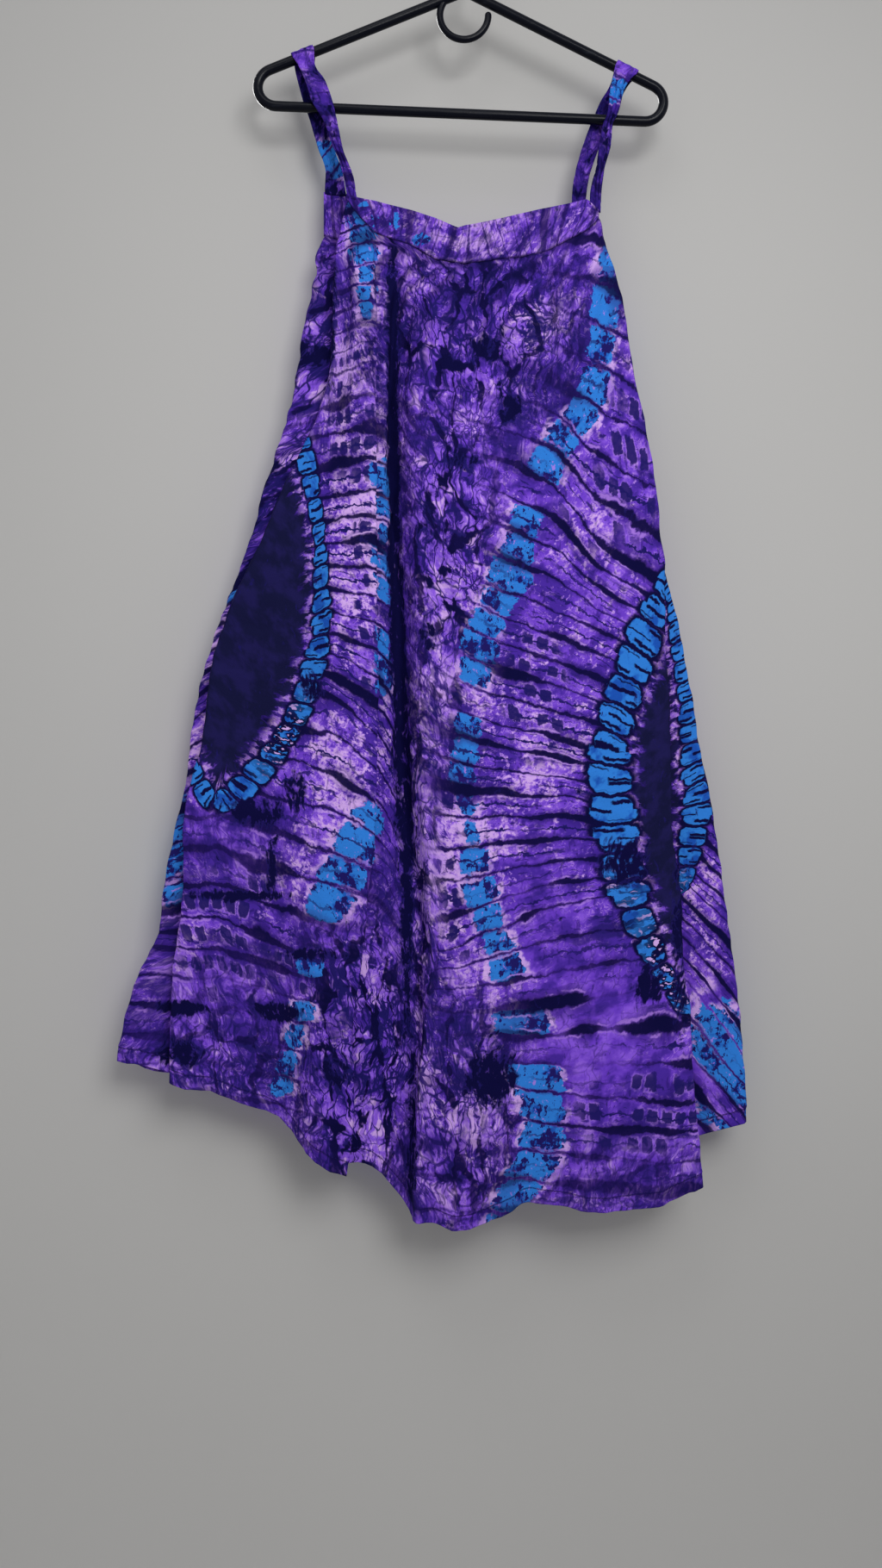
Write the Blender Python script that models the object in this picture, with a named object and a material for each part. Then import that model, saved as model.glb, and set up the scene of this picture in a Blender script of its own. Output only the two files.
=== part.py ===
"""A cotton sundress hanging by its straps from a tubular plastic hanger.

Frame: origin where a rod or nail holds the hook, +Z up, +X to the right of the
dress's front, +Y towards its back.  Tables are in millimetres; meshes are in
metres.

The skirt is one ring of cloth made from fold lines.  Each fold line is a short
table that runs from the skirt's top edge down to its hem, and a smooth curve
joins the fold lines round the body at every level.  The ring is cut at the two
side seams into the front and the back panel.
"""

import math

import bmesh
import bpy
import numpy as np
from mathutils import Matrix, Vector

MM = 0.001

# ---------------------------------------------------------------- dimensions

CLOTH = 1.6                # wall of a single layer of cotton
DOUBLE_CLOTH = 2.2         # wall of the bands and straps, which are two layers
SEAM_GAP = 0.3             # clearance where two pieces lie flat on each other
SLOPED_SEAM_GAP = 0.9      # the same between middle lines that meet at an angle

HANGER_SPAN = 419.0        # overall width
HANGER_TUBE = 10.0         # diameter of the arms and the bar
HANGER_DROP = 123.6        # apex of the arms down to the bar
HANGER_ARM_SLOPE = 24.3    # degrees below the horizontal
HANGER_TILT = 2.4          # degrees, the right end hangs lower
APEX_BELOW_HOOK = 85.0     # holding point of the hook down to the apex
APEX_ROUNDING = 16.0       # bend radius where the arms meet
HOOK_RADIUS = 23.0         # centre line of the hook
HOOK_TUBE = 9.0
HOOK_TURN = (-42.0, 196.0)     # degrees where the hook's bend starts and ends
HOOK_SWAY = (7.5, -44.5)       # across and height where the neck leans over
NECK_LENGTH = 30.0
NECK_SUNK = 4.0            # how far the neck starts below the apex
RING_RADIUS = 24.3         # centre line of the open ring under the apex
RING_TUBE = 7.0
RING_TURN = (140.0, 362.0)     # degrees where the ring starts and ends
TIP_TAPER = 0.55           # a free tip's diameter over its tube's
TUBE_SIDES = 12
ARC_STEP = 10.0            # degrees between points of a bent tube

SKIRT_ROWS = 22            # levels down the skirt, the same on both panels
STEPS_PER_FOLD = 3         # mesh columns between two fold lines
BAND_COLUMN = 12.0         # widest mesh column of a band
BAND_ROWS = 3
STRAP_COLUMNS = 3
STRAP_TURN_STEPS = 8       # mesh rows round the hanger's arm

# The front band, left to right: where it is, its upper and lower edge, and how
# far it stands forward.  Its upper edge meets in a small notch at the centre.
FRONT_BAND = (
    # across, upper edge, lower edge, depth
    (-120, -296, -303, -14),
    (-110, -299, -317, -14.5),
    (-93, -303, -335, -15.5),
    (-57, -313, -348, -18),
    (-34, -321, -362, -19),
    (-11, -331, -366, -19.5),
    (-4, -329, -367, -20),
    (18, -325, -364, -20),
    (51, -317, -360, -19),
    (75, -311, -355, -17.5),
    (96, -306, -343, -15.5),
    (118, -300, -331, -13),
    (130, -310, -319, -11),
)

# The back band, left to right, cut straight like the front one.
BACK_BAND = (
    # across, upper edge, lower edge, depth
    (-147, -282, -327, 12),
    (-124, -283, -333, 14),
    (-100, -294, -341, 16),
    (-50, -312, -358, 19),
    (0, -322, -367, 20),
    (50, -316, -362, 19),
    (96, -303, -347, 16),
    (118, -296, -340, 13),
    (128, -296, -337, 11),
)

# Fold lines of the front panel, left to right.  Each row is height, across,
# depth.  The first row lies on the band's lower edge or on the armhole.
FRONT_FOLDS = (
    ("left_edge", (
        (-303, -120, -14), (-355, -131, -20), (-405, -134, -23), (-461, -134, -25),
        (-509, -144, -26), (-553, -164, -26), (-587, -181, -26), (-652, -208, -27),
        (-724, -241, -28), (-760, -252, -28), (-841, -263, -28), (-885, -275, -28),
        (-918, -281, -28), (-982, -283, -28), (-1025, -287, -28), (-1071, -294, -26),
        (-1179, -297, -25))),
    ("left_hollow", (
        (-313, -112, -14), (-362, -119, -24), (-447, -121, -26), (-516, -134, -22),
        (-619, -157, -24), (-756, -179, -26), (-875, -193, -27), (-960, -204, -27),
        (-1046, -200, -26), (-1131, -193, -24), (-1214, -189, -22))),
    ("left_crest", (
        (-324, -104, -15), (-390, -112, -28), (-451, -113, -32), (-587, -118, -36),
        (-706, -129, -38), (-841, -141, -39), (-931, -153, -40), (-1044, -149, -40),
        (-1255, -151, -40))),
    ("pleat_edge", (
        (-336, -94, -17), (-362, -93, -23), (-390, -92, -28), (-451, -91, -34), (-588, -91, -38),
        (-841, -90, -40), (-926, -92, -41), (-968, -97, -42), (-1052, -105, -43),
        (-1119, -112, -44), (-1208, -114, -45), (-1265, -119, -46))),
    ("pleat_back", (
        (-337, -88, -16), (-362, -92, -14), (-390, -99, -18), (-448, -100, -23),
        (-585, -99, -26), (-841, -98, -28), (-926, -100, -28), (-969, -105, -29), (-1054, -114, -30),
        (-1121, -120, -31), (-1258, -126, -33))),
    ("recess", (
        (-339, -84, -16), (-387, -83, -18), (-584, -83, -18), (-926, -83, -19),
        (-1055, -92, -22), (-1131, -94, -24), (-1262, -96, -27))),
    ("valley", (
        (-343, -73, -17), (-385, -71, -15), (-437, -73, -11), (-495, -79, -9),
        (-555, -80, -8), (-659, -73, -8), (-707, -69, -8), (-875, -67, -8),
        (-935, -61, -9), (-983, -54, -10), (-1116, -50, -14), (-1158, -51, -16),
        (-1209, -56, -19), (-1301, -62, -22))),
    ("roll", (
        (-349, -57, -18), (-450, -52, -29), (-536, -54, -33), (-706, -48, -36),
        (-875, -46, -38), (-934, -41, -39), (-1044, -38, -41), (-1153, -46, -43),
        (-1203, -50, -44), (-1313, -52, -46))),
    ("roll_dip", (
        (-362, -34, -19), (-450, -28, -30), (-706, -28, -37), (-985, -28, -41),
        (-1079, -31, -39), (-1171, -34, -39), (-1314, -36, -41))),
    ("middle", (
        (-367, -3, -20), (-451, -3, -32), (-588, -4, -37), (-875, -4, -43),
        (-1127, -8, -47), (-1318, -13, -50))),
    ("middle_dip", (
        (-363, 26, -20), (-408, 31, -23), (-513, 31, -28), (-621, 34, -36),
        (-875, 38, -43), (-1127, 39, -46), (-1302, 39, -46))),
    ("right_dip", (
        (-358, 65, -18), (-468, 68, -33), (-622, 72, -38), (-833, 72, -43),
        (-1043, 67, -45), (-1212, 58, -42), (-1294, 58, -39))),
    ("right_crest", (
        (-345, 92, -16), (-468, 98, -33), (-622, 114, -38), (-833, 126, -42),
        (-1078, 129, -46), (-1211, 130, -48), (-1301, 132, -50))),
    ("right_plane", (
        (-331, 118, -13), (-467, 132, -28), (-621, 161, -33), (-833, 169, -38),
        (-1002, 177, -42), (-1136, 184, -44), (-1293, 189, -46))),
    ("right_edge", (
        (-320, 130, -11), (-341, 135, -12), (-376, 147, -13), (-411, 155, -14),
        (-454, 160, -15), (-498, 169, -17), (-541, 178, -18), (-584, 184, -20),
        (-636, 191, -21), (-666, 194, -22), (-721, 194, -24), (-834, 198, -28),
        (-926, 200, -31), (-992, 208, -33), (-1065, 211, -35), (-1108, 217, -36),
        (-1166, 219, -37), (-1279, 230, -40))),
)

# Fold lines of the back panel, from the right side seam round the back to the
# left one.  The panel first tucks in behind the front, then comes out as a
# flap, turns, and hangs in soft waves down the back.
BACK_FOLDS = (
    ("right_seam", (
        (-344, 131, -7), (-450, 155, -9), (-581, 178, -14), (-663, 188, -16),
        (-758, 189, -19), (-892, 193, -24), (-1050, 204, -28), (-1180, 214, -30),
        (-1277, 223, -33))),
    ("right_tuck", (
        (-344, 129, -3), (-450, 153, -5), (-581, 176, -9), (-663, 184, -11),
        (-758, 178, -14), (-892, 176, -18), (-1050, 180, -21), (-1180, 184, -23),
        (-1243, 190, -24))),
    ("right_tuck_turn", (
        (-344, 130, -1), (-450, 154, -3), (-581, 177, -7), (-663, 185, -9),
        (-758, 179, -10), (-892, 177, -12), (-1050, 181, -14), (-1180, 185, -15),
        (-1243, 192, -16))),
    ("right_flap", (
        (-344, 133, 2), (-372, 145, 1), (-406, 154, 0), (-450, 159, -1),
        (-494, 168, -3), (-537, 177, -4), (-581, 183, -5), (-663, 195, -6),
        (-719, 209, -6), (-789, 222, -6), (-858, 234, -6), (-961, 252, -8),
        (-1043, 262, -9), (-1134, 273, -8), (-1220, 278, -8))),
    ("wave_1", ((-340, 118, 12), (-780, 205, 12), (-1212, 258, 6))),
    ("wave_2", ((-348, 95, 16), (-780, 165, 28), (-1240, 215, 30))),
    ("wave_3", ((-357, 66, 18), (-780, 122, 15), (-1272, 158, 13))),
    ("wave_4", ((-364, 38, 19), (-780, 80, 30), (-1294, 98, 34))),
    ("wave_5", ((-367, 10, 20), (-780, 35, 17), (-1300, 34, 16))),
    ("wave_6", ((-365, -20, 20), (-780, -10, 31), (-1296, -34, 36))),
    ("wave_7", ((-359, -48, 19), (-780, -58, 16), (-1262, -98, 14))),
    ("wave_8", ((-349, -78, 17), (-780, -108, 29), (-1238, -160, 32))),
    ("wave_9", ((-340, -104, 15), (-780, -160, 15), (-1205, -228, 13))),
    ("wave_10", ((-333, -128, 13), (-780, -222, 20), (-1178, -300, 14))),
    ("left_flap", (
        (-328, -145, 8), (-339, -151, 7), (-387, -158, 5), (-444, -169, 3),
        (-492, -177, 2), (-549, -193, 0), (-597, -208, 0), (-667, -230, 0),
        (-719, -250, 0), (-771, -267, 0), (-823, -278, 0), (-884, -285, 0),
        (-940, -298, -2), (-1013, -309, -4), (-1029, -311, -5), (-1075, -331, -10),
        (-1118, -343, -13), (-1160, -351, -16))),
    ("left_tuck", (
        (-352, -120, -4), (-450, -119, -6), (-553, -146, -10), (-652, -188, -11),
        (-760, -230, -12), (-841, -240, -12), (-918, -258, -12), (-1025, -265, -12),
        (-1071, -278, -13), (-1174, -291, -15))),
    ("left_seam", (
        (-360, -125, -12), (-450, -128, -15), (-553, -156, -18), (-652, -201, -19),
        (-760, -245, -20), (-841, -256, -20), (-918, -274, -20), (-1025, -280, -20),
        (-1071, -288, -20), (-1178, -292, -21))),
)

# Straps.  Each row is height, left edge, right edge, depth, from the hanger's
# arm down.  STRAP_SEATS holds the middle of each strap on the arm.
STRAP_WIDTH = 23.0
STRAP_SEATS = {"left": -165.8, "right": 158.0}
STRAP_RUNS = {
    "left": {
        "front": (
            (-158, -174, -155, -7.0), (-181, -163, -143, -8.5),
            (-198, -158, -137, -9), (-220, -145, -132, -9), (-245, -136, -127, -10),
            (-262, -129, -121, -11), (-280, -124, -115, -13), (-295, -121, -112, -14)),
        "back": (
            (-158, -176, -156, 7.0), (-190, -168, -148, 8), (-207, -162, -142, 8.5),
            (-240, -152, -136, 9), (-262, -145, -128, 10.5), (-281, -146, -124, 12.5)),
    },
    "right": {
        "front": (
            (-173, 145, 166, -7.0), (-187, 142, 156, -8.5), (-212, 139, 149, -9),
            (-222, 135, 144, -9), (-243, 131, 142, -9.5), (-266, 128, 136, -10),
            (-285, 123, 133, -11), (-299, 120, 131, -12)),
        "back": (
            (-172, 145, 166, 7.0), (-196, 132, 151, 8), (-218, 123, 142, 8.5),
            (-240, 115, 132, 9), (-262, 109, 124, 10), (-281, 106, 120, 12),
            (-294, 105, 119, 14)),
    },
}

# ------------------------------------------------------------------- curves


def smooth_slopes(at, values):
    """Slopes of a cubic through rows that never overshoots between them."""
    steps = np.diff(at)
    rises = np.diff(values) / steps
    slopes = np.empty_like(values)
    slopes[0], slopes[-1] = rises[0], rises[-1]
    for k in range(1, len(at) - 1):
        before, after = rises[k - 1], rises[k]
        if before * after <= 0.0:
            slopes[k] = 0.0
        else:
            weight_a = 2 * steps[k] + steps[k - 1]
            weight_b = steps[k] + 2 * steps[k - 1]
            slopes[k] = (weight_a + weight_b) / (weight_a / before + weight_b / after)
    return slopes


def read_curve(at, values, where):
    """Value of the smooth curve through (at, values), at ascending in at."""
    at, values = np.asarray(at, float), np.asarray(values, float)
    slopes = smooth_slopes(at, values)
    where = np.clip(where, at[0], at[-1])
    k = np.clip(np.searchsorted(at, where, side="right") - 1, 0, len(at) - 2)
    step = at[k + 1] - at[k]
    t = (where - at[k]) / step
    return (values[k] * (1 + 2 * t) * (1 - t) ** 2
            + values[k + 1] * t * t * (3 - 2 * t)
            + step * slopes[k] * t * (1 - t) ** 2
            - step * slopes[k + 1] * t * t * (1 - t))


def fold_line(rows, levels):
    """Points (across, depth, height) down a fold line, for levels from 0 at its
    top to 1 at its hem."""
    rows = np.array(rows[::-1], float)
    height = rows[-1, 0] + levels * (rows[0, 0] - rows[-1, 0])
    across = read_curve(rows[:, 0], rows[:, 1], height)
    depth = read_curve(rows[:, 0], rows[:, 2], height)
    return np.stack([across, depth, height], axis=1)


def curve_through(p0, p1, p2, p3, t):
    """Centripetal curve from p1 to p2; it can't loop where the points crowd."""
    k1 = np.sqrt(np.linalg.norm(p1 - p0)) + 1e-9
    k2 = k1 + np.sqrt(np.linalg.norm(p2 - p1)) + 1e-9
    k3 = k2 + np.sqrt(np.linalg.norm(p3 - p2)) + 1e-9
    k = k1 + t * (k2 - k1)
    a1 = (k1 - k) / k1 * p0 + k / k1 * p1
    a2 = (k2 - k) / (k2 - k1) * p1 + (k - k1) / (k2 - k1) * p2
    a3 = (k3 - k) / (k3 - k2) * p2 + (k - k2) / (k3 - k2) * p3
    b1 = (k2 - k) / k2 * a1 + k / k2 * a2
    b2 = (k3 - k) / (k3 - k1) * a2 + (k - k1) / (k3 - k1) * a3
    return (k2 - k) / (k2 - k1) * b1 + (k - k1) / (k2 - k1) * b2


def skirt_sections(first, last, rows):
    """The skirt's sections from ring position first to last: an array of
    columns by rows of points."""
    folds = FRONT_FOLDS + BACK_FOLDS
    levels = np.linspace(0.0, 1.0, rows + 1)
    lines = [fold_line(table, levels) for _, table in folds]
    count = len(lines)
    columns = []
    for k in range(first, last):
        p0, p1, p2, p3 = (lines[(k + shift) % count] for shift in (-1, 0, 1, 2))
        for step in range(STEPS_PER_FOLD):
            t = step / STEPS_PER_FOLD
            columns.append([curve_through(*ends, t) for ends in zip(p0, p1, p2, p3)])
    columns.append(list(lines[last % count]))
    return np.array(columns)


def ring_position(name):
    """Place of a named fold line in the skirt's ring."""
    return [fold for fold, _ in FRONT_FOLDS + BACK_FOLDS].index(name)


def sew_to_band(columns, band, only):
    """Puts the top of the chosen columns just under a band's lower edge."""
    band = np.array(band, float)
    slopes = np.diff(band[:, 2]) / np.diff(band[:, 0])
    for k in only:
        across = columns[k, 0, 0]
        piece = np.clip(np.searchsorted(band[:, 0], across) - 1, 0, len(slopes) - 1)
        drop = (np.interp(across, band[:, 0], band[:, 2])
                - SLOPED_SEAM_GAP * math.hypot(1.0, slopes[piece]))
        columns[k, 0, 2] = drop
        columns[k, 0, 1] = np.interp(across, band[:, 0], band[:, 3])
        columns[k, 1, 2] = 0.5 * (drop + columns[k, 2, 2])


def trim_sides(columns):
    """Draws both side edges back by half the gap of a seam."""
    for edge, inner in ((0, 1), (-1, -2)):
        away = columns[inner] - columns[edge]
        away /= np.linalg.norm(away, axis=1)[:, None]
        columns[edge] += 0.5 * SLOPED_SEAM_GAP * away


# ------------------------------------------------------------ mesh building


def material(name, colour, roughness):
    made = bpy.data.materials.new(name)
    made.use_nodes = True
    shader = made.node_tree.nodes["Principled BSDF"]
    shader.inputs["Base Color"].default_value = (*colour, 1.0)
    shader.inputs["Roughness"].default_value = roughness
    shader.inputs["Metallic"].default_value = 0.0
    made.diffuse_color = (*colour, 1.0)
    return made


def new_object(name, bm, finish, hold):
    mesh = bpy.data.meshes.new(name)
    bm.to_mesh(mesh)
    bm.free()
    mesh.materials.append(finish)
    mesh.shade_smooth()
    made = bpy.data.objects.new(name, mesh)
    bpy.context.scene.collection.objects.link(made)
    made.parent = hold
    return made


def cloth_panel(name, columns, wall, finish, hold):
    """A sheet whose grid of points is columns by rows, given a wall."""
    across, down = len(columns) - 1, len(columns[0]) - 1
    bm = bmesh.new()
    bmesh.ops.create_grid(bm, x_segments=across, y_segments=down, size=1.0)
    for vertex in bm.verts:
        i = round((vertex.co.x + 1) / 2 * across)
        j = round((1 - vertex.co.y) / 2 * down)
        vertex.co = Vector(columns[i][j]) * MM
    panel = new_object(name, bm, finish, hold)
    solid = panel.modifiers.new("wall", "SOLIDIFY")
    solid.thickness = wall * MM
    solid.offset = 0.0
    return panel


def tube(name, points, diameter, closed=False):
    """A round tube through points, with rounded ends when it is open."""
    curve = bpy.data.curves.new(name, "CURVE")
    curve.dimensions = "3D"
    curve.bevel_depth = diameter / 2 * MM
    curve.bevel_resolution = TUBE_SIDES // 4
    curve.use_fill_caps = not closed
    spline = curve.splines.new("POLY")
    spline.points.add(len(points) - 1)
    for point, place in zip(spline.points, points):
        point.co = (*(Vector(place) * MM), 1.0)
    if not closed:
        spline.points[-1].radius = TIP_TAPER
    spline.use_cyclic_u = closed
    drawn = bpy.data.objects.new(name, curve)
    bpy.context.scene.collection.objects.link(drawn)
    solid = bpy.data.meshes.new_from_object(
        drawn.evaluated_get(bpy.context.evaluated_depsgraph_get()))
    bpy.data.objects.remove(drawn)
    bpy.data.curves.remove(curve)
    bm = bmesh.new()
    bm.from_mesh(solid)
    bpy.data.meshes.remove(solid)
    bmesh.ops.remove_doubles(bm, verts=bm.verts, dist=1e-6)
    bmesh.ops.recalc_face_normals(bm, faces=bm.faces)
    return bm


# -------------------------------------------------------------------- dress


def skirt(finish, hold):
    """Front and back panel, cut from one ring at the side seams."""
    count = len(FRONT_FOLDS) + len(BACK_FOLDS)
    left_seam = ring_position("left_seam") - count
    right_seam = ring_position("right_seam")

    front = skirt_sections(left_seam, right_seam, SKIRT_ROWS)
    first = STEPS_PER_FOLD
    last = len(front) - 1 - STEPS_PER_FOLD
    sew_to_band(front, FRONT_BAND, range(first, last + 1))
    trim_sides(front)
    cloth_panel("front_skirt", front, CLOTH, finish, hold)

    back = skirt_sections(right_seam, left_seam + count, SKIRT_ROWS)
    first = (ring_position("wave_1") - right_seam) * STEPS_PER_FOLD
    last = (ring_position("left_flap") - right_seam) * STEPS_PER_FOLD
    sew_to_band(back, BACK_BAND, range(first, last + 1))
    trim_sides(back)
    cloth_panel("back_skirt", back, CLOTH, finish, hold)


def band(name, table, finish, hold):
    """A band cut to its upper and lower edge."""
    table = np.array(table, float)
    columns = []
    for start, end in zip(table[:-1], table[1:]):
        parts = max(1, round((end[0] - start[0]) / BAND_COLUMN))
        for part in range(parts):
            columns.append(start + (end - start) * part / parts)
    columns.append(table[-1])
    grid = [[(across, depth, upper + (lower - upper) * row / BAND_ROWS)
             for row in range(BAND_ROWS + 1)]
            for across, upper, lower, depth in columns]
    cloth_panel(name, grid, DOUBLE_CLOTH, finish, hold)


def arm_axis(across):
    """Point and direction on the centre line of a hanger arm, as it hangs."""
    side = math.copysign(1.0, across)
    slope = math.radians(HANGER_TILT + side * HANGER_ARM_SLOPE)
    tilt = math.radians(HANGER_TILT)
    apex = (-APEX_BELOW_HOOK * math.sin(tilt), -APEX_BELOW_HOOK * math.cos(tilt))
    height = apex[1] - (across - apex[0]) * math.tan(slope)
    return np.array([across, 0.0, height]), np.array([math.cos(slope), 0.0, -math.sin(slope)])


def strap(side, finish, hold):
    """One strap: up the front, over the hanger's arm and down the back."""
    seat, along = arm_axis(STRAP_SEATS[side])
    upward = np.array([-along[2], 0.0, along[0]])
    backward = np.array([0.0, 1.0, 0.0])
    radius = HANGER_TUBE / 2 + SEAM_GAP + DOUBLE_CLOTH / 2
    half = along * STRAP_WIDTH / 2

    rows = []
    for height, left, right, depth in reversed(STRAP_RUNS[side]["front"]):
        rows.append((np.array([left, depth, height]), np.array([right, depth, height])))
    for step in range(STRAP_TURN_STEPS + 1):
        turn = math.pi * (step / STRAP_TURN_STEPS - 0.5)
        middle = seat + radius * (math.sin(turn) * backward + math.cos(turn) * upward)
        rows.append((middle - half, middle + half))
    for height, left, right, depth in STRAP_RUNS[side]["back"]:
        rows.append((np.array([left, depth, height]), np.array([right, depth, height])))

    for row, table in ((rows[0], FRONT_BAND), (rows[-1], BACK_BAND)):
        # Each end is cut along the upper edge of the band it is sewn to.
        table = np.array(table, float)
        for corner in row:
            corner[2] = np.interp(corner[0], table[:, 0], table[:, 1]) + SEAM_GAP
    grid = [[left + (right - left) * part / STRAP_COLUMNS for left, right in rows]
            for part in range(STRAP_COLUMNS + 1)]
    cloth_panel(f"strap_{side}", grid, DOUBLE_CLOTH, finish, hold)


# ------------------------------------------------------------------- hanger


def arc(centre, radius, start, end):
    """Points (across, 0, height) on an arc; angles in degrees from +X to +Z."""
    turns = np.radians(np.linspace(start, end, round((end - start) / ARC_STEP) + 1))
    return [(centre[0] + radius * math.cos(turn), 0.0, centre[1] + radius * math.sin(turn))
            for turn in turns]


def hanger_outline():
    """The closed centre line of the arms, the rounded ends and the bar."""
    slope = math.radians(HANGER_ARM_SLOPE)
    half = (HANGER_SPAN - HANGER_TUBE) / 2
    end_radius = ((HANGER_DROP - half * math.tan(slope))
                  / (1 + 1 / math.cos(slope) - math.tan(slope)))
    bar = -APEX_BELOW_HOOK - HANGER_DROP
    end_centre = (half - end_radius, bar + end_radius)
    apex_centre = (0.0, -APEX_BELOW_HOOK - APEX_ROUNDING / math.cos(slope))
    left_centre = (-end_centre[0], end_centre[1])
    points = arc(end_centre, end_radius, -90, 90 - HANGER_ARM_SLOPE)
    points += arc(apex_centre, APEX_ROUNDING, 90 - HANGER_ARM_SLOPE, 90 + HANGER_ARM_SLOPE)
    points += arc(left_centre, end_radius, 90 + HANGER_ARM_SLOPE, 270)
    return points


def hook_line():
    """The neck and the hook, from inside the apex to the hook's tip."""
    foot = -APEX_BELOW_HOOK - NECK_SUNK
    neck = [(0.0, 0.0, foot), (0.0, 0.0, foot + NECK_LENGTH)]
    sway = [(HOOK_SWAY[0], 0.0, HOOK_SWAY[1])]
    centre = (0.0, HOOK_TUBE / 2 - HOOK_RADIUS)
    return neck + sway + arc(centre, HOOK_RADIUS, *HOOK_TURN)


def ring_line():
    """The open ring under the apex, from inside the left arm to its tip."""
    return arc((0.0, -APEX_BELOW_HOOK - RING_RADIUS), RING_RADIUS, *RING_TURN)


def hanger(finish, hold):
    """One moulding: arms and bar, with the hook and the ring joined on."""
    frame = new_object("hanger", tube("outline", hanger_outline(), HANGER_TUBE, closed=True),
                       finish, hold)
    for name, line, diameter in (("hook_line", hook_line(), HOOK_TUBE),
                                 ("ring_line", ring_line(), RING_TUBE)):
        branch = new_object(name, tube(name, line, diameter), finish, hold)
        branch.hide_render = True
        branch.display_type = "WIRE"
        join = frame.modifiers.new(name, "BOOLEAN")
        join.operation = "UNION"
        join.solver = "EXACT"
        join.object = branch
    return frame


# --------------------------------------------------------------------- main


def main():
    for old in list(bpy.data.objects):
        bpy.data.objects.remove(old)

    cotton = material("tie_dyed_cotton", (0.09, 0.035, 0.36), 0.85)
    band_cotton = material("band_cotton", (0.17, 0.08, 0.41), 0.85)
    plastic = material("black_plastic", (0.012, 0.013, 0.018), 0.3)

    dress_hold = bpy.data.objects.new("dress_hold", None)
    hanger_hold = bpy.data.objects.new("hanger_hold", None)
    hanger_hold.rotation_euler = Matrix.Rotation(math.radians(HANGER_TILT), 4, "Y").to_euler()
    for empty in (dress_hold, hanger_hold):
        bpy.context.scene.collection.objects.link(empty)

    skirt(cotton, dress_hold)
    band("front_band", FRONT_BAND, band_cotton, dress_hold)
    band("back_band", BACK_BAND, band_cotton, dress_hold)
    for side in STRAP_SEATS:
        strap(side, band_cotton, dress_hold)
    hanger(plastic, hanger_hold)


main()
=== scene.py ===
import math
from functools import partialmethod

import bmesh
import bpy
import numpy as np
from mathutils import Matrix, Vector, noise


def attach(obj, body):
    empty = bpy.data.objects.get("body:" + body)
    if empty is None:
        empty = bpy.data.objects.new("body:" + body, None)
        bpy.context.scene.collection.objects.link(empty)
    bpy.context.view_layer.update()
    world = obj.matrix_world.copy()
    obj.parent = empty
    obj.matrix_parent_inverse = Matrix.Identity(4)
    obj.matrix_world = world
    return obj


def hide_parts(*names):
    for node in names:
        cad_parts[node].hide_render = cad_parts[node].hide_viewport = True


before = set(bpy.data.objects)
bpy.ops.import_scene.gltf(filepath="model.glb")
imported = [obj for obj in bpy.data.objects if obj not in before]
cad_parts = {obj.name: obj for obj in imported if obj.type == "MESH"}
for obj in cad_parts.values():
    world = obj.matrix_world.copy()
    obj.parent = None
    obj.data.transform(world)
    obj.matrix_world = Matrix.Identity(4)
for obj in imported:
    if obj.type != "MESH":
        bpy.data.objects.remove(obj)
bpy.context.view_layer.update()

MM = 0.001
scene = bpy.context.scene


# ------------------------------------------------------------ camera and room
# The dress hangs before a pale painted wall, and a level camera stands at its
# middle height.  Two soft lamps throw the hanger's faint double shadow, the sky
# fills the rest, and a third lamp lights the back.  Lengths are in metres.

VIEW_DISTANCE = 1.43
VIEW_ACROSS = -0.0278
VIEW_HEIGHT = -0.8836
HALF_VIEW_HEIGHT = 0.7899      # half of what the view holds at the hanger's plane
WALL_DEPTH = 0.046
FLOOR_HEIGHT = -1.78
WALL_PAINT = (0.475, 0.468, 0.455)
FLOOR_PAINT = (0.52, 0.51, 0.50)
PAINT_MOTTLE = 0.04            # how far the paint's lightness varies
SKY = (0.80, 0.81, 0.83)
SKY_STRENGTH = 0.58

scene.view_settings.view_transform = "Standard"

lens = bpy.data.cameras.new("camera")
lens.sensor_width = 36.0
lens.lens = lens.sensor_width / 2 * VIEW_DISTANCE / HALF_VIEW_HEIGHT
lens.clip_start = 0.05
camera = bpy.data.objects.new("camera", lens)
camera.location = (VIEW_ACROSS, -VIEW_DISTANCE, VIEW_HEIGHT)
camera.rotation_euler = (math.radians(90), 0.0, 0.0)
scene.collection.objects.link(camera)
scene.camera = camera

sky = bpy.data.worlds.new("sky")
sky.use_nodes = True
sky.node_tree.nodes["Background"].inputs["Color"].default_value = (*SKY, 1.0)
sky.node_tree.nodes["Background"].inputs["Strength"].default_value = SKY_STRENGTH
scene.world = sky


def lamp(name, place, aim, size, watts, spread):
    """A soft square lamp at place that shines at aim in a beam of spread degrees."""
    data = bpy.data.lights.new(name, "AREA")
    data.size = size
    data.energy = watts
    data.spread = math.radians(spread)
    made = bpy.data.objects.new(name, data)
    made.location = place
    made.rotation_mode = "QUATERNION"
    made.rotation_quaternion = (Vector(aim) - Vector(place)).to_track_quat("-Z", "Y")
    scene.collection.objects.link(made)


lamp("key_lamp", (0.55, -1.85, 0.10), (-0.03, 0.0, -0.74), 0.95, 5.3, 80.0)
lamp("ceiling_lamp", (-0.25, -1.15, 0.75), (-0.05, 0.0, -0.9), 0.8, 1.3, 100.0)
lamp("rear_lamp", (-1.2, 2.4, 0.6), (0.0, 0.0, -0.7), 1.2, 32.0, 150.0)


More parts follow.
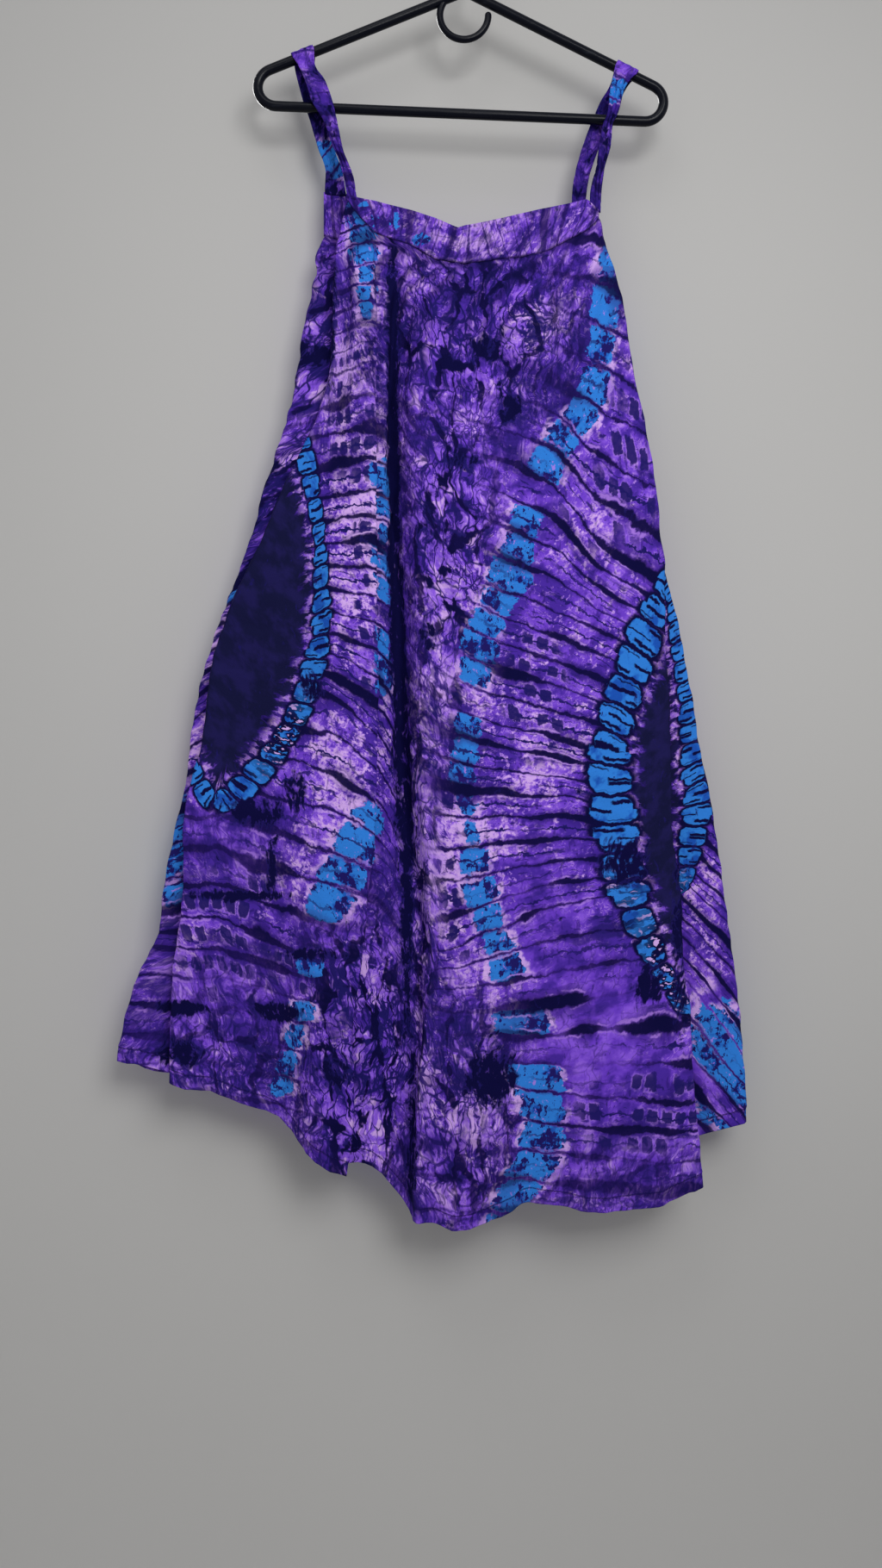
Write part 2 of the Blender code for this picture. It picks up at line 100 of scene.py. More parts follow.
def room_plane(name, paint, place, turn, size):
    """A painted square of the room, facing the dress."""
    bm = bmesh.new()
    bmesh.ops.create_grid(bm, x_segments=1, y_segments=1, size=size / 2)
    bmesh.ops.transform(bm, verts=bm.verts,
                        matrix=Matrix.Translation(place) @ Matrix.Rotation(turn, 4, "X"))
    mesh = bpy.data.meshes.new(name)
    bm.to_mesh(mesh)
    bm.free()
    finish = bpy.data.materials.new(name + "_paint")
    finish.use_nodes = True
    nodes, links = finish.node_tree.nodes, finish.node_tree.links
    shader = nodes["Principled BSDF"]
    shader.inputs["Roughness"].default_value = 0.8
    roller = nodes.new("ShaderNodeTexNoise")
    roller.inputs["Scale"].default_value = 1.3
    tone = nodes.new("ShaderNodeMix")
    tone.data_type = "RGBA"
    for socket, light in ((6, 1.0 - PAINT_MOTTLE), (7, 1.0 + PAINT_MOTTLE)):
        tone.inputs[socket].default_value = (*(light * c for c in paint), 1.0)
    place_of = nodes.new("ShaderNodeTexCoord")
    links.new(place_of.outputs["Object"], roller.inputs["Vector"])
    links.new(roller.outputs[0], tone.inputs[0])
    links.new(tone.outputs[2], shader.inputs["Base Color"])
    mesh.materials.append(finish)
    made = bpy.data.objects.new(name, mesh)
    scene.collection.objects.link(made)
    return made


room_plane("floor", FLOOR_PAINT, (0.0, 0.0, FLOOR_HEIGHT), 0.0, 9.0)
wall = room_plane("wall", WALL_PAINT, (0.0, WALL_DEPTH, -0.4), math.radians(90), 6.0)

# The wall has one painted side.  From behind it lets the view and the light
# through, so the back of the dress can be seen and lit too.
wall.visible_shadow = False
wall.visible_diffuse = False
wall.visible_glossy = False
wall_nodes = wall.data.materials[0].node_tree.nodes
wall_links = wall.data.materials[0].node_tree.links
side = wall_nodes.new("ShaderNodeNewGeometry")
gone = wall_nodes.new("ShaderNodeBsdfTransparent")
either = wall_nodes.new("ShaderNodeMixShader")
wall_links.new(side.outputs["Backfacing"], either.inputs["Fac"])
wall_links.new(wall_nodes["Principled BSDF"].outputs["BSDF"], either.inputs[1])
wall_links.new(gone.outputs["BSDF"], either.inputs[2])
wall_links.new(either.outputs["Shader"], wall_nodes["Material Output"].inputs["Surface"])


# --------------------------------------------------------- form of the skirt
# Two gathered panels of thin cotton hang in one ring of cloth from the bands.
# The ring is set out by fold lines, from the seam at the top down to the hem.
# From here on lengths are in mm; pieces are turned into metres as they are made.

CLOTH = 0.5                # wall of the cotton
CELL = 4.3                 # size of the cloth's mesh cells
HEM = 15.0                 # depth of the turned and stitched hem

# The front band, left to right: where it is, its upper and lower edge, and how
# far it stands forward.  Its upper edge meets in a small notch at the centre.
FRONT_BAND = (
    # across, upper edge, lower edge, depth
    (-120, -296, -303, -14),
    (-110, -299, -317, -14.5),
    (-93, -303, -335, -15.5),
    (-57, -313, -348, -18),
    (-34, -321, -362, -19),
    (-11, -331, -366, -19.5),
    (-4, -329, -367, -20),
    (18, -325, -364, -20),
    (51, -317, -360, -19),
    (75, -311, -355, -17.5),
    (96, -306, -343, -15.5),
    (118, -300, -331, -13),
    (130, -310, -319, -11),
)

# The back band, left to right, cut straight like the front one.
BACK_BAND = (
    # across, upper edge, lower edge, depth
    (-147, -282, -327, 12),
    (-124, -283, -333, 14),
    (-100, -294, -341, 16),
    (-50, -312, -358, 19),
    (0, -322, -367, 20),
    (50, -316, -362, 19),
    (96, -303, -347, 16),
    (118, -296, -340, 13),
    (128, -296, -337, 11),
)

# Fold lines of the front panel, left to right.  Each row is height, across,
# depth.  The first row lies on the band's lower edge or on the armhole.
FRONT_FOLDS = (
    ("left_edge", (
        (-303, -120, -14), (-355, -131, -20), (-405, -134, -23), (-461, -134, -25),
        (-509, -144, -26), (-553, -164, -26), (-587, -181, -26), (-652, -208, -27),
        (-724, -241, -28), (-760, -252, -28), (-841, -263, -28), (-885, -275, -28),
        (-918, -281, -28), (-982, -283, -28), (-1025, -287, -28), (-1071, -294, -26),
        (-1179, -297, -25))),
    ("left_hollow", (
        (-313, -112, -14), (-362, -119, -24), (-447, -121, -26), (-516, -134, -22),
        (-619, -157, -24), (-756, -179, -26), (-875, -193, -27), (-960, -204, -27),
        (-1046, -200, -26), (-1131, -193, -24), (-1214, -189, -22))),
    ("left_crest", (
        (-324, -104, -15), (-390, -112, -28), (-451, -113, -32), (-587, -118, -36),
        (-706, -129, -38), (-841, -141, -39), (-931, -153, -40), (-1044, -149, -40),
        (-1255, -151, -40))),
    ("pleat_edge", (
        (-336, -94, -17), (-362, -93, -23), (-390, -92, -28), (-451, -91, -34), (-588, -91, -38),
        (-841, -90, -40), (-926, -92, -41), (-968, -97, -42), (-1052, -105, -43),
        (-1119, -112, -44), (-1208, -114, -45), (-1265, -119, -46))),
    ("pleat_back", (
        (-337, -88, -16), (-362, -92, -14), (-390, -99, -18), (-448, -100, -23),
        (-585, -99, -26), (-841, -98, -28), (-926, -100, -28), (-969, -105, -29), (-1054, -114, -30),
        (-1121, -120, -31), (-1258, -126, -33))),
    ("recess", (
        (-339, -84, -16), (-387, -83, -18), (-584, -83, -18), (-926, -83, -19),
        (-1055, -92, -22), (-1131, -94, -24), (-1262, -96, -27))),
    ("valley", (
        (-343, -73, -17), (-385, -71, -15), (-437, -73, -11), (-495, -79, -9),
        (-555, -80, -8), (-659, -73, -8), (-707, -69, -8), (-875, -67, -8),
        (-935, -61, -9), (-983, -54, -10), (-1116, -50, -14), (-1158, -51, -16),
        (-1209, -56, -19), (-1301, -62, -22))),
    ("roll", (
        (-349, -57, -18), (-450, -52, -29), (-536, -54, -33), (-706, -48, -36),
        (-875, -46, -38), (-934, -41, -39), (-1044, -38, -41), (-1153, -46, -43),
        (-1203, -50, -44), (-1313, -52, -46))),
    ("roll_dip", (
        (-362, -34, -19), (-450, -28, -30), (-706, -28, -37), (-985, -28, -41),
        (-1079, -31, -39), (-1171, -34, -39), (-1314, -36, -41))),
    ("middle", (
        (-367, -3, -20), (-451, -3, -32), (-588, -4, -37), (-875, -4, -43),
        (-1127, -8, -47), (-1318, -13, -50))),
    ("middle_dip", (
        (-363, 26, -20), (-408, 31, -23), (-513, 31, -28), (-621, 34, -36),
        (-875, 38, -43), (-1127, 39, -46), (-1302, 39, -46))),
    ("right_dip", (
        (-358, 65, -18), (-468, 68, -33), (-622, 72, -38), (-833, 72, -43),
        (-1043, 67, -45), (-1212, 58, -42), (-1294, 58, -39))),
    ("right_crest", (
        (-345, 92, -16), (-468, 98, -33), (-622, 114, -38), (-833, 126, -42),
        (-1078, 129, -46), (-1211, 130, -48), (-1301, 132, -50))),
    ("right_plane", (
        (-331, 118, -13), (-467, 132, -28), (-621, 161, -33), (-833, 169, -38),
        (-1002, 177, -42), (-1136, 184, -44), (-1293, 189, -46))),
    ("right_edge", (
        (-320, 130, -11), (-341, 135, -12), (-376, 147, -13), (-411, 155, -14),
        (-454, 160, -15), (-498, 169, -17), (-541, 178, -18), (-584, 184, -20),
        (-636, 191, -21), (-666, 194, -22), (-721, 194, -24), (-834, 198, -28),
        (-926, 200, -31), (-992, 208, -33), (-1065, 211, -35), (-1108, 217, -36),
        (-1166, 219, -37), (-1279, 230, -40))),
)

# Fold lines of the back panel, from the right side seam round the back to the
# left one.  The panel first tucks in behind the front, then comes out as a
# flap, turns, and hangs in soft waves down the back.
BACK_FOLDS = (
    ("right_seam", (
        (-344, 131, -7), (-450, 155, -9), (-581, 178, -14), (-663, 188, -16),
        (-758, 189, -19), (-892, 193, -24), (-1050, 204, -28), (-1180, 214, -30),
        (-1277, 223, -33))),
    ("right_tuck", (
        (-344, 129, -3), (-450, 153, -5), (-581, 176, -9), (-663, 184, -11),
        (-758, 178, -14), (-892, 176, -18), (-1050, 180, -21), (-1180, 184, -23),
        (-1243, 190, -24))),
    ("right_tuck_turn", (
        (-344, 130, -1), (-450, 154, -3), (-581, 177, -7), (-663, 185, -9),
        (-758, 179, -10), (-892, 177, -12), (-1050, 181, -14), (-1180, 185, -15),
        (-1243, 192, -16))),
    ("right_flap", (
        (-344, 133, 2), (-372, 145, 1), (-406, 154, 0), (-450, 159, -1),
        (-494, 168, -3), (-537, 177, -4), (-581, 183, -5), (-663, 195, -6),
        (-719, 209, -6), (-789, 222, -6), (-858, 234, -6), (-961, 252, -8),
        (-1043, 262, -9), (-1134, 273, -8), (-1220, 278, -8))),
    ("wave_1", ((-340, 118, 12), (-780, 205, 12), (-1212, 258, 6))),
    ("wave_2", ((-348, 95, 16), (-780, 165, 28), (-1240, 215, 30))),
    ("wave_3", ((-357, 66, 18), (-780, 122, 15), (-1272, 158, 13))),
    ("wave_4", ((-364, 38, 19), (-780, 80, 30), (-1294, 98, 34))),
    ("wave_5", ((-367, 10, 20), (-780, 35, 17), (-1300, 34, 16))),
    ("wave_6", ((-365, -20, 20), (-780, -10, 31), (-1296, -34, 36))),
    ("wave_7", ((-359, -48, 19), (-780, -58, 16), (-1262, -98, 14))),
    ("wave_8", ((-349, -78, 17), (-780, -108, 29), (-1238, -160, 32))),
    ("wave_9", ((-340, -104, 15), (-780, -160, 15), (-1205, -228, 13))),
    ("wave_10", ((-333, -128, 13), (-780, -222, 20), (-1178, -300, 14))),
    ("left_flap", (
        (-328, -145, 8), (-339, -151, 7), (-387, -158, 5), (-444, -169, 3),
        (-492, -177, 2), (-549, -193, 0), (-597, -208, 0), (-667, -230, 0),
        (-719, -250, 0), (-771, -267, 0), (-823, -278, 0), (-884, -285, 0),
        (-940, -298, -2), (-1013, -309, -4), (-1029, -311, -5), (-1075, -331, -10),
        (-1118, -343, -13), (-1160, -351, -16))),
    ("left_tuck", (
        (-352, -120, -4), (-450, -119, -6), (-553, -146, -10), (-652, -188, -11),
        (-760, -230, -12), (-841, -240, -12), (-918, -258, -12), (-1025, -265, -12),
        (-1071, -278, -13), (-1174, -291, -15))),
    ("left_seam", (
        (-360, -125, -12), (-450, -128, -15), (-553, -156, -18), (-652, -201, -19),
        (-760, -245, -20), (-841, -256, -20), (-918, -274, -20), (-1025, -280, -20),
        (-1071, -288, -20), (-1178, -292, -21))),
)


def smooth_slopes(at, values):
    """Slopes of a cubic through rows that never overshoots between them."""
    steps = np.diff(at)
    rises = np.diff(values) / steps
    slopes = np.zeros_like(values)
    slopes[0], slopes[-1] = rises[0], rises[-1]
    for k in range(1, len(at) - 1):
        before, after = rises[k - 1], rises[k]
        if before * after > 0.0:
            weight_a = 2 * steps[k] + steps[k - 1]
            weight_b = steps[k] + 2 * steps[k - 1]
            slopes[k] = (weight_a + weight_b) / (weight_a / before + weight_b / after)
    return slopes


def read_curve(at, values, where):
    """Value of the smooth curve through (at, values), at ascending in at."""
    at, values = np.asarray(at, float), np.asarray(values, float)
    slopes = smooth_slopes(at, values)
    where = np.clip(where, at[0], at[-1])
    k = np.clip(np.searchsorted(at, where, side="right") - 1, 0, len(at) - 2)
    step = at[k + 1] - at[k]
    t = (where - at[k]) / step
    return (values[k] * (1 + 2 * t) * (1 - t) ** 2
            + values[k + 1] * t * t * (3 - 2 * t)
            + step * slopes[k] * t * (1 - t) ** 2
            - step * slopes[k + 1] * t * t * (1 - t))


def smooth_step(value, low, high):
    """0 up to low, 1 from high, smooth between; low may be the greater."""
    t = np.clip((value - low) / (high - low), 0.0, 1.0)
    return t * t * (3 - 2 * t)


def fold_line(rows, levels):
    """Points (across, depth, height) down a fold line, for levels from 0 at its
    top to 1 at its hem."""
    rows = np.array(rows[::-1], float)
    height = rows[-1, 0] + levels * (rows[0, 0] - rows[-1, 0])
    across = read_curve(rows[:, 0], rows[:, 1], height)
    depth = read_curve(rows[:, 0], rows[:, 2], height)
    return np.stack([across, depth, height], axis=1)


def curve_through(p0, p1, p2, p3, t):
    """Centripetal curve from p1 to p2; it can't loop where the points crowd."""
    gaps = [np.sqrt(np.linalg.norm(after - before, axis=1, keepdims=True)) + 1e-9
            for before, after in ((p0, p1), (p1, p2), (p2, p3))]
    k1, k2, k3 = np.cumsum(gaps, axis=0)
    k = k1 + t * (k2 - k1)

    def between(before, after, start, end):
        return ((end - k) * before + (k - start) * after) / (end - start)

    first = between(p0, p1, 0.0, k1)
    second = between(p1, p2, k1, k2)
    third = between(p2, p3, k2, k3)
    return between(between(first, second, 0.0, k2), between(second, third, k1, k3), k1, k2)


def ring_position(name):
    """Place of a named fold line in the skirt's ring."""
    return [fold for fold, _ in FRONT_FOLDS + BACK_FOLDS].index(name)


# Levels down the skirt: even, then close together where the hem is turned up.
LONGEST = 960.0                # length of cloth that levels 0 to 1 stand for
EVEN_END = 21.0                # the even levels end this far above the hem
HEM_ROWS = (17.5, 15.8, 15.0, 14.2, 11.0, 7.0, 3.0, 1.0, 0.0)
skirt_levels = np.concatenate([
    np.linspace(0.0, 1.0 - EVEN_END / LONGEST, round((LONGEST - EVEN_END) / CELL)),
    1.0 - np.array(HEM_ROWS) / LONGEST])


def skirt_sections(first, last):
    """The skirt's sections from ring position first to last: an array of
    columns by levels of points.  Columns keep to their fold all the way down."""
    lines = [fold_line(rows, skirt_levels) for _, rows in FRONT_FOLDS + BACK_FOLDS]
    columns = []
    for k in range(first, last):
        p0, p1, p2, p3 = (lines[(k + shift) % len(lines)] for shift in (-1, 0, 1, 2))
        wide = np.linalg.norm(p2 - p1, axis=1).mean()
        steps = max(3, round(wide / CELL * 1.08))
        columns += [curve_through(p0, p1, p2, p3, step / steps) for step in range(steps)]
    columns.append(lines[last % len(lines)])
    return np.array(columns)


def read_table(table, column, where):
    """A column of a table, read at values of its ascending first column, along
    straight lines between the rows."""
    rows = np.array(table, float)
    return np.interp(where, rows[:, 0], rows[:, column])


SEAM_TUCK = 1.5                # how far the skirt reaches up inside a band
SEAM_FADE = 60.0               # how far down the skirt is drawn to its band


def sew_to_band(columns, band):
    """Draws the top of the columns to a band's lower edge."""
    across = columns[:, 0, 0]
    inside = smooth_step(np.minimum(across - band[0][0], band[-1][0] - across), -6.0, 2.0)
    lift = read_table(band, 2, across) + SEAM_TUCK - columns[:, 0, 2]
    push = read_table(band, 3, across) - columns[:, 0, 1]
    fade = smooth_step(skirt_levels, SEAM_FADE / LONGEST, 0.0)[None, :] * inside[:, None]
    columns[:, :, 2] += lift[:, None] * fade
    columns[:, :, 1] += push[:, None] * fade


def cloth_lengths(points):
    """Length of the cloth at each point of a grid: across it and down it."""
    lengths = []
    for axis in (0, 1):
        steps = np.linalg.norm(np.diff(points, axis=axis), axis=2)
        lengths.append(np.insert(np.cumsum(steps, axis=axis), 0, 0.0, axis=axis))
    return lengths


def raised(points, relief):
    """The grid of points moved outwards, along its normals, by relief."""
    normal = np.cross(np.gradient(points, axis=0), np.gradient(points, axis=1))
    normal /= np.linalg.norm(normal, axis=2, keepdims=True) + 1e-9
    return points + normal * relief[:, :, None]


def rumple(across, down, wide, tall, seed):
    """Smooth random heights from -1 to 1 for cloth places, with lumps about
    wide by tall."""
    return np.array([noise.noise((a / wide, d / tall, seed))
                     for a, d in zip(across.ravel(), down.ravel())]).reshape(across.shape)


# --------------------------------------------------------- dye of the cotton
# The cotton is tie-dyed: pleated, bound at close steps and dipped.  Each bound
# turn leaves a dark line.  Two leaf-shaped resists are ringed with blue cells.
# Shade in the pleat's folds and under the bands is painted into the colour too.

# The flow of the bound turns: their number from the top, and their height at
# each place across.  Between two rows they are evenly spaced.
TURN_PLACES = (-250, -145, -90, -45, 15, 75, 130, 190)
TURN_FLOW = (
    # number, height at each place
    (0, -365, -360, -345, -365, -370, -375, -385, -405),
    (6, -495, -480, -470, -540, -560, -585, -650, -685),
    (10, -600, -600, -595, -640, -685, -710, -735, -765),
    (15, -705, -715, -725, -790, -820, -835, -850, -865),
    (19, -785, -795, -835, -910, -915, -915, -920, -925),
    (23, -915, -945, -970, -1050, -1030, -1005, -995, -995),
    (26, -1015, -1055, -1060, -1100, -1105, -1100, -1090, -1080),
    (29, -1105, -1120, -1130, -1170, -1175, -1185, -1190, -1195),
    (33, -1220, -1240, -1250, -1300, -1300, -1302, -1305, -1310),
)

# The rings of the two leaves and the blue columns: across, height, half width.
RIGHT_LEAF = ((200, -672, 7), (168, -750, 17), (137, -860, 18), (147, -955, 18),
              (180, -1050, 12), (214, -1110, 7))
LEFT_LEAF = ((-172, -510, 4), (-160, -570, 8), (-147, -650, 6), (-145, -720, 8),
             (-165, -805, 12), (-205, -868, 12), (-250, -902, 9), (-281, -852, 7))
BLUE_COLUMNS = (
    ((140, -350, 13), (133, -430, 17), (118, -505, 18), (75, -570, 17), (42, -675, 19),
     (12, -742, 20), (0, -815, 16), (-6, -880, 14), (0, -917, 12), (9, -985, 14),
     (28, -1036, 15), (50, -1115, 22), (73, -1221, 24), (32, -1309, 22)),
    ((-108, -300, 19), (-103, -375, 14), (-100, -425, 7)),
    ((-86, -566, 9), (-85, -775, 9), (-87, -835, -8), (-92, -880, -5),
     (-104, -925, 16), (-118, -960, 24),
     (-140, -1005, 20), (-153, -1042, 9), (-165, -1110, 9), (-186, -1180, 15)),
)
RIGHT_CELL, LEFT_CELL = 29.0, 23.0     # length of one blue cell along each ring
STITCH_HEIGHT = 14.4       # the hem's row of stitches above its edge
STITCH_LENGTH = 0.0034     # in metres, as the recipe measures the cloth
SOFT_EDGE = 10.0           # width over which blue columns and leaves fade in
PATCH_REACH = 1.6          # a patch fades out at this many half widths or heights
FAR = 6.0                  # value of a ring or a leaf too far off to show
NOWHERE = -9.0             # value of blue or of a hem that doesn't show

# Soft patches of each kind: across, height, half width, half height, strength.
PATCHES = {
    "stain": (
        # Of the stains, the first five run down the pleat's valley, (31, -464) lies in narrow pleats
        # and (-137, -418) in the gap beside the front panel's edge: dye and painted shade.
        (-76, -490, 6, 150, 1.2), (-74, -640, 6, 130, 1.2), (-69, -800, 7, 140, 1.2),
        (-62, -960, 6, 170, 1.1), (-57, -1214, 5, 102, 0.8),
        (17, -453, 19, 12, 1), (40, -513, 13, 16, 1), (31, -464, 4, 56, 0.8),
        (-4, -567, 18, 8, 0.8), (-41, -631, 9, 20, 0.7), (-41, -738, 9, 17, 0.7),
        (20, -1169, 24, 24, 1), (152, -961, 22, 20, 0.9), (175, -1078, 13, 19, 1),
        (-207, -911, 28, 13, 0.95), (-195, -967, 4, 36, 1), (-171, -894, 12, 17, 0.85),
        (-154, -788, 11, 13, 0.8), (-129, -1163, 18, 14, 0.8), (-137, -418, 6, 59, 0.9),
        (206, -1028, 7, 93, 0.8), (-283, -1106, 24, 7, 1.2), (-189, -1109, 24, 8, 1.2),
        (-236, -994, 52, 5, 1.1), (-283, -1150, 15, 13, 0.9), (-150, -1050, 30, 6, 0.9)),
    "pink": (
        (-117, -638, 29, 144, 0.9), (-123, -862, 34, 68, 0.9), (68, -428, 29, 29, 1),
        (-165, -968, 34, 34, 0.5), (93, -668, 42, 51, 0.5), (47, -790, 59, 68, 0.55),
        (-21, -841, 20, 76, 0.6), (55, -884, 51, 25, 0.5), (-41, -1070, 11, 161, 0.85),
        (-4, -1121, 34, 51, 0.5), (233, -1036, 29, 102, 0.8), (226, -858, 17, 135, 0.6),
        (175, -1019, 17, 42, 0.9), (-178, -697, 12, 76, 0.6), (-108, -565, 34, 120, 1.1),
        (-33, -900, 26, 190, 1.0), (100, -820, 70, 130, 0.4),
        (5, -880, 44, 180, 0.7), (10, -1160, 40, 80, 0.7)),
    "crinkle": (
        (0, -435, 102, 93, 1), (-21, -638, 44, 144, 1), (-38, -782, 22, 85, 0.7),
        (-51, -1028, 19, 279, 0.9), (-110, -1155, 56, 150, 1.1), (-4, -1205, 51, 110, 0.9),
        (-169, -452, 34, 93, 0.5), (123, -1273, 110, 34, 0.5), (-250, -1155, 76, 46, 0.8),
        (-235, -940, 50, 40, 0.3), (-235, -1100, 62, 50, 0.4)),
    "dots": (
        (-101, -638, 10, 135, 1), (-118, -511, 22, 59, 0.9), (64, -797, 25, 51, 1),
        (-21, -829, 14, 38, 0.9), (-25, -930, 16, 60, 1.0), (-108, -440, 26, 60, 0.9),
        (164, -553, 22, 76, 0.8), (123, -613, 34, 42, 0.5), (-4, -1011, 22, 42, 0.6),
        (174, -1205, 59, 34, 0.8), (-239, -1011, 51, 37, 0.7), (-250, -1078, 51, 34, 0.5),
        (-173, -1061, 19, 42, 0.6)),
    "plain": (
        (123, -1121, 52, 66, 1), (93, -757, 25, 51, 0.2), (123, -706, 34, 51, 0.2),
        (-235, -935, 40, 30, 0.8), (-240, -1105, 52, 40, 0.8), (160, -1240, 34, 30, 0.6),
        (60, -1010, 40, 40, 0.5)),
    # deep darkens the dye; the patches at (-84, -640), (-60, -520) and (-80, -1110) are painted
    # shade in the pleat's recess and valley.
    "deep": (
        (0, -405, 85, 52, 0.9), (95, -470, 60, 70, 1.3), (-235, -975, 62, 75, 0.9),
        (-60, -520, 22, 90, 0.6), (-80, -1110, 40, 80, 0.6), (-84, -640, 9, 300, 1.6),
        (-108, -435, 30, 60, 1.0), (-185, -1120, 70, 90, 1.0)),
    "worn": (
        (200, -1055, 34, 62, 1), (-178, -838, 34, 34, 1), (147, -985, 24, 16, 0.7)),
}


def turn_number(across, height):
    """Number of the bound turn at each place; whole numbers are the turns."""
    places = [read_curve(TURN_PLACES, row[1:], across) for row in TURN_FLOW]
    numbers = [row[0] for row in TURN_FLOW]
    last = len(numbers) - 2
    found = np.full(across.shape, float(numbers[0]))
    for k in range(last + 1):
        reach = (places[k] - height) / (places[k] - places[k + 1])
        reach = np.clip(reach, -20.0 if k == 0 else 0.0, 20.0 if k == last else 1.0)
        found += reach * (numbers[k + 1] - numbers[k])
    return found


def beside_curve(rows, across, height):
    """For each place: signed distance from the smooth curve through rows, more
    on its left going down; the curve's half width there; length along it."""
    rows = np.array(rows, float)
    fine = np.linspace(0, len(rows) - 1, 70)
    x, z, half = (read_curve(np.arange(len(rows)), rows[:, k], fine) for k in range(3))
    length = np.concatenate([[0.0], np.cumsum(np.hypot(np.diff(x), np.diff(z)))])
    best = np.full(across.shape, 1e9)
    side, wide, along = np.zeros((3, *across.shape))
    for k in range(len(fine) - 1):
        dx, dz = x[k + 1] - x[k], z[k + 1] - z[k]
        t = ((across - x[k]) * dx + (height - z[k]) * dz) / (dx * dx + dz * dz)
        t = np.clip(t, 0.0, 1.0)
        gap_x, gap_z = across - x[k] - t * dx, height - z[k] - t * dz
        gap = np.hypot(gap_x, gap_z)
        near = gap < best
        best[near] = gap[near]
        side[near] = np.sign(gap_x * dz - gap_z * dx)[near]
        wide[near] = (half[k] + t * (half[k + 1] - half[k]))[near]
        along[near] = (length[k] + t * (length[k + 1] - length[k]))[near]
    return best * side, wide, along


def patch_gap(patch, across, height):
    """Distance from a patch's middle, as a share of its half width and height."""
    x, z, half_wide, half_tall = patch[:4]
    return np.hypot((across - x) / half_wide, (height - z) / half_tall)


def dye_and_shade_chart(across, height, turn_height, leaves):
    """The dye's layout at each place of the cloth, as named values, with some
    shade painted in along folds.  The turns may lie at another height.  Each
    leaf comes with the side on which its middle is, and the length of its
    ring's cells."""
    chart = {"turns": turn_number(across, turn_height)}

    blue = np.full(across.shape, NOWHERE)
    for column in BLUE_COLUMNS:
        gap, half, _ = beside_curve(column, across, height)
        blue = np.maximum(blue, (half - np.abs(gap)) / SOFT_EDGE)
    chart["blue"] = blue

    ring = np.full(across.shape, 1e9)
    ring_along = np.zeros(across.shape)
    leaf = np.full(across.shape, -FAR)
    for rows, inner_side, cell in leaves:
        gap, half, along = beside_curve(rows, across, height)
        lowest = min(row[1] for row in rows)
        ends = (smooth_step(height, rows[0][1] + 30.0, rows[0][1] + 5.0)
                * smooth_step(height, lowest - 45.0, lowest - 15.0))
        into = gap * inner_side - half + 60.0 * (ends - 1.0)
        closer = np.abs(gap) / half < np.abs(ring)
        ring = np.where(closer, -gap * inner_side / half, ring)
        ring_along = np.where(closer, along / cell, ring_along)
        leaf = np.maximum(leaf, into / SOFT_EDGE)
    chart.update(ring=np.clip(ring, -FAR, FAR), ring_along=ring_along, leaf=np.minimum(leaf, FAR))

    for kind, patches in PATCHES.items():
        chart[kind] = np.maximum.reduce([
            patch[4] * np.clip(PATCH_REACH - patch_gap(patch, across, height), 0.0, 1.0)
            for patch in patches])
    return chart


def even_chart(points, **values):
    """A chart with the same dye all over and no leaves, apart from the values
    given: numbers, or arrays like the grid of points."""
    chart = dict.fromkeys((*PATCHES, "ring_along", "seam"), 0.0)
    chart.update(ring=FAR, leaf=-FAR, hem=NOWHERE)
    chart.update(values)
    return {kind: np.zeros(points.shape[:2]) + value for kind, value in chart.items()}


class Tone:
    """A number that varies over a surface, kept as a socket of its recipe."""

    def __init__(self, recipe, socket):
        self.recipe, self.socket = recipe, socket

    def calc(self, operation, *others):
        return self.recipe.tone("Math", (self, *others), operation=operation)

    __add__ = __radd__ = partialmethod(calc, "ADD")
    __mul__ = __rmul__ = partialmethod(calc, "MULTIPLY")
    __sub__ = partialmethod(calc, "SUBTRACT")
    __truediv__ = partialmethod(calc, "DIVIDE")
    __pow__ = partialmethod(calc, "POWER")
    size = partialmethod(calc, "ABSOLUTE")
    least = partialmethod(calc, "MINIMUM")
    floor = partialmethod(calc, "FLOOR")
    nearest_whole = partialmethod(calc, "ROUND")

    def __rsub__(self, other):
        return self.recipe.tone("Math", (other, self), operation="SUBTRACT")

    def from_whole(self):
        """Distance to the nearest whole number, 0 to 0.5."""
        return self.calc("PINGPONG", 0.5)

    def rise(self, low, high):
        """0 up to low and 1 from high, smooth between; low may be the greater."""
        return self.recipe.tone("MapRange", (self, low, high), interpolation_type="SMOOTHSTEP")


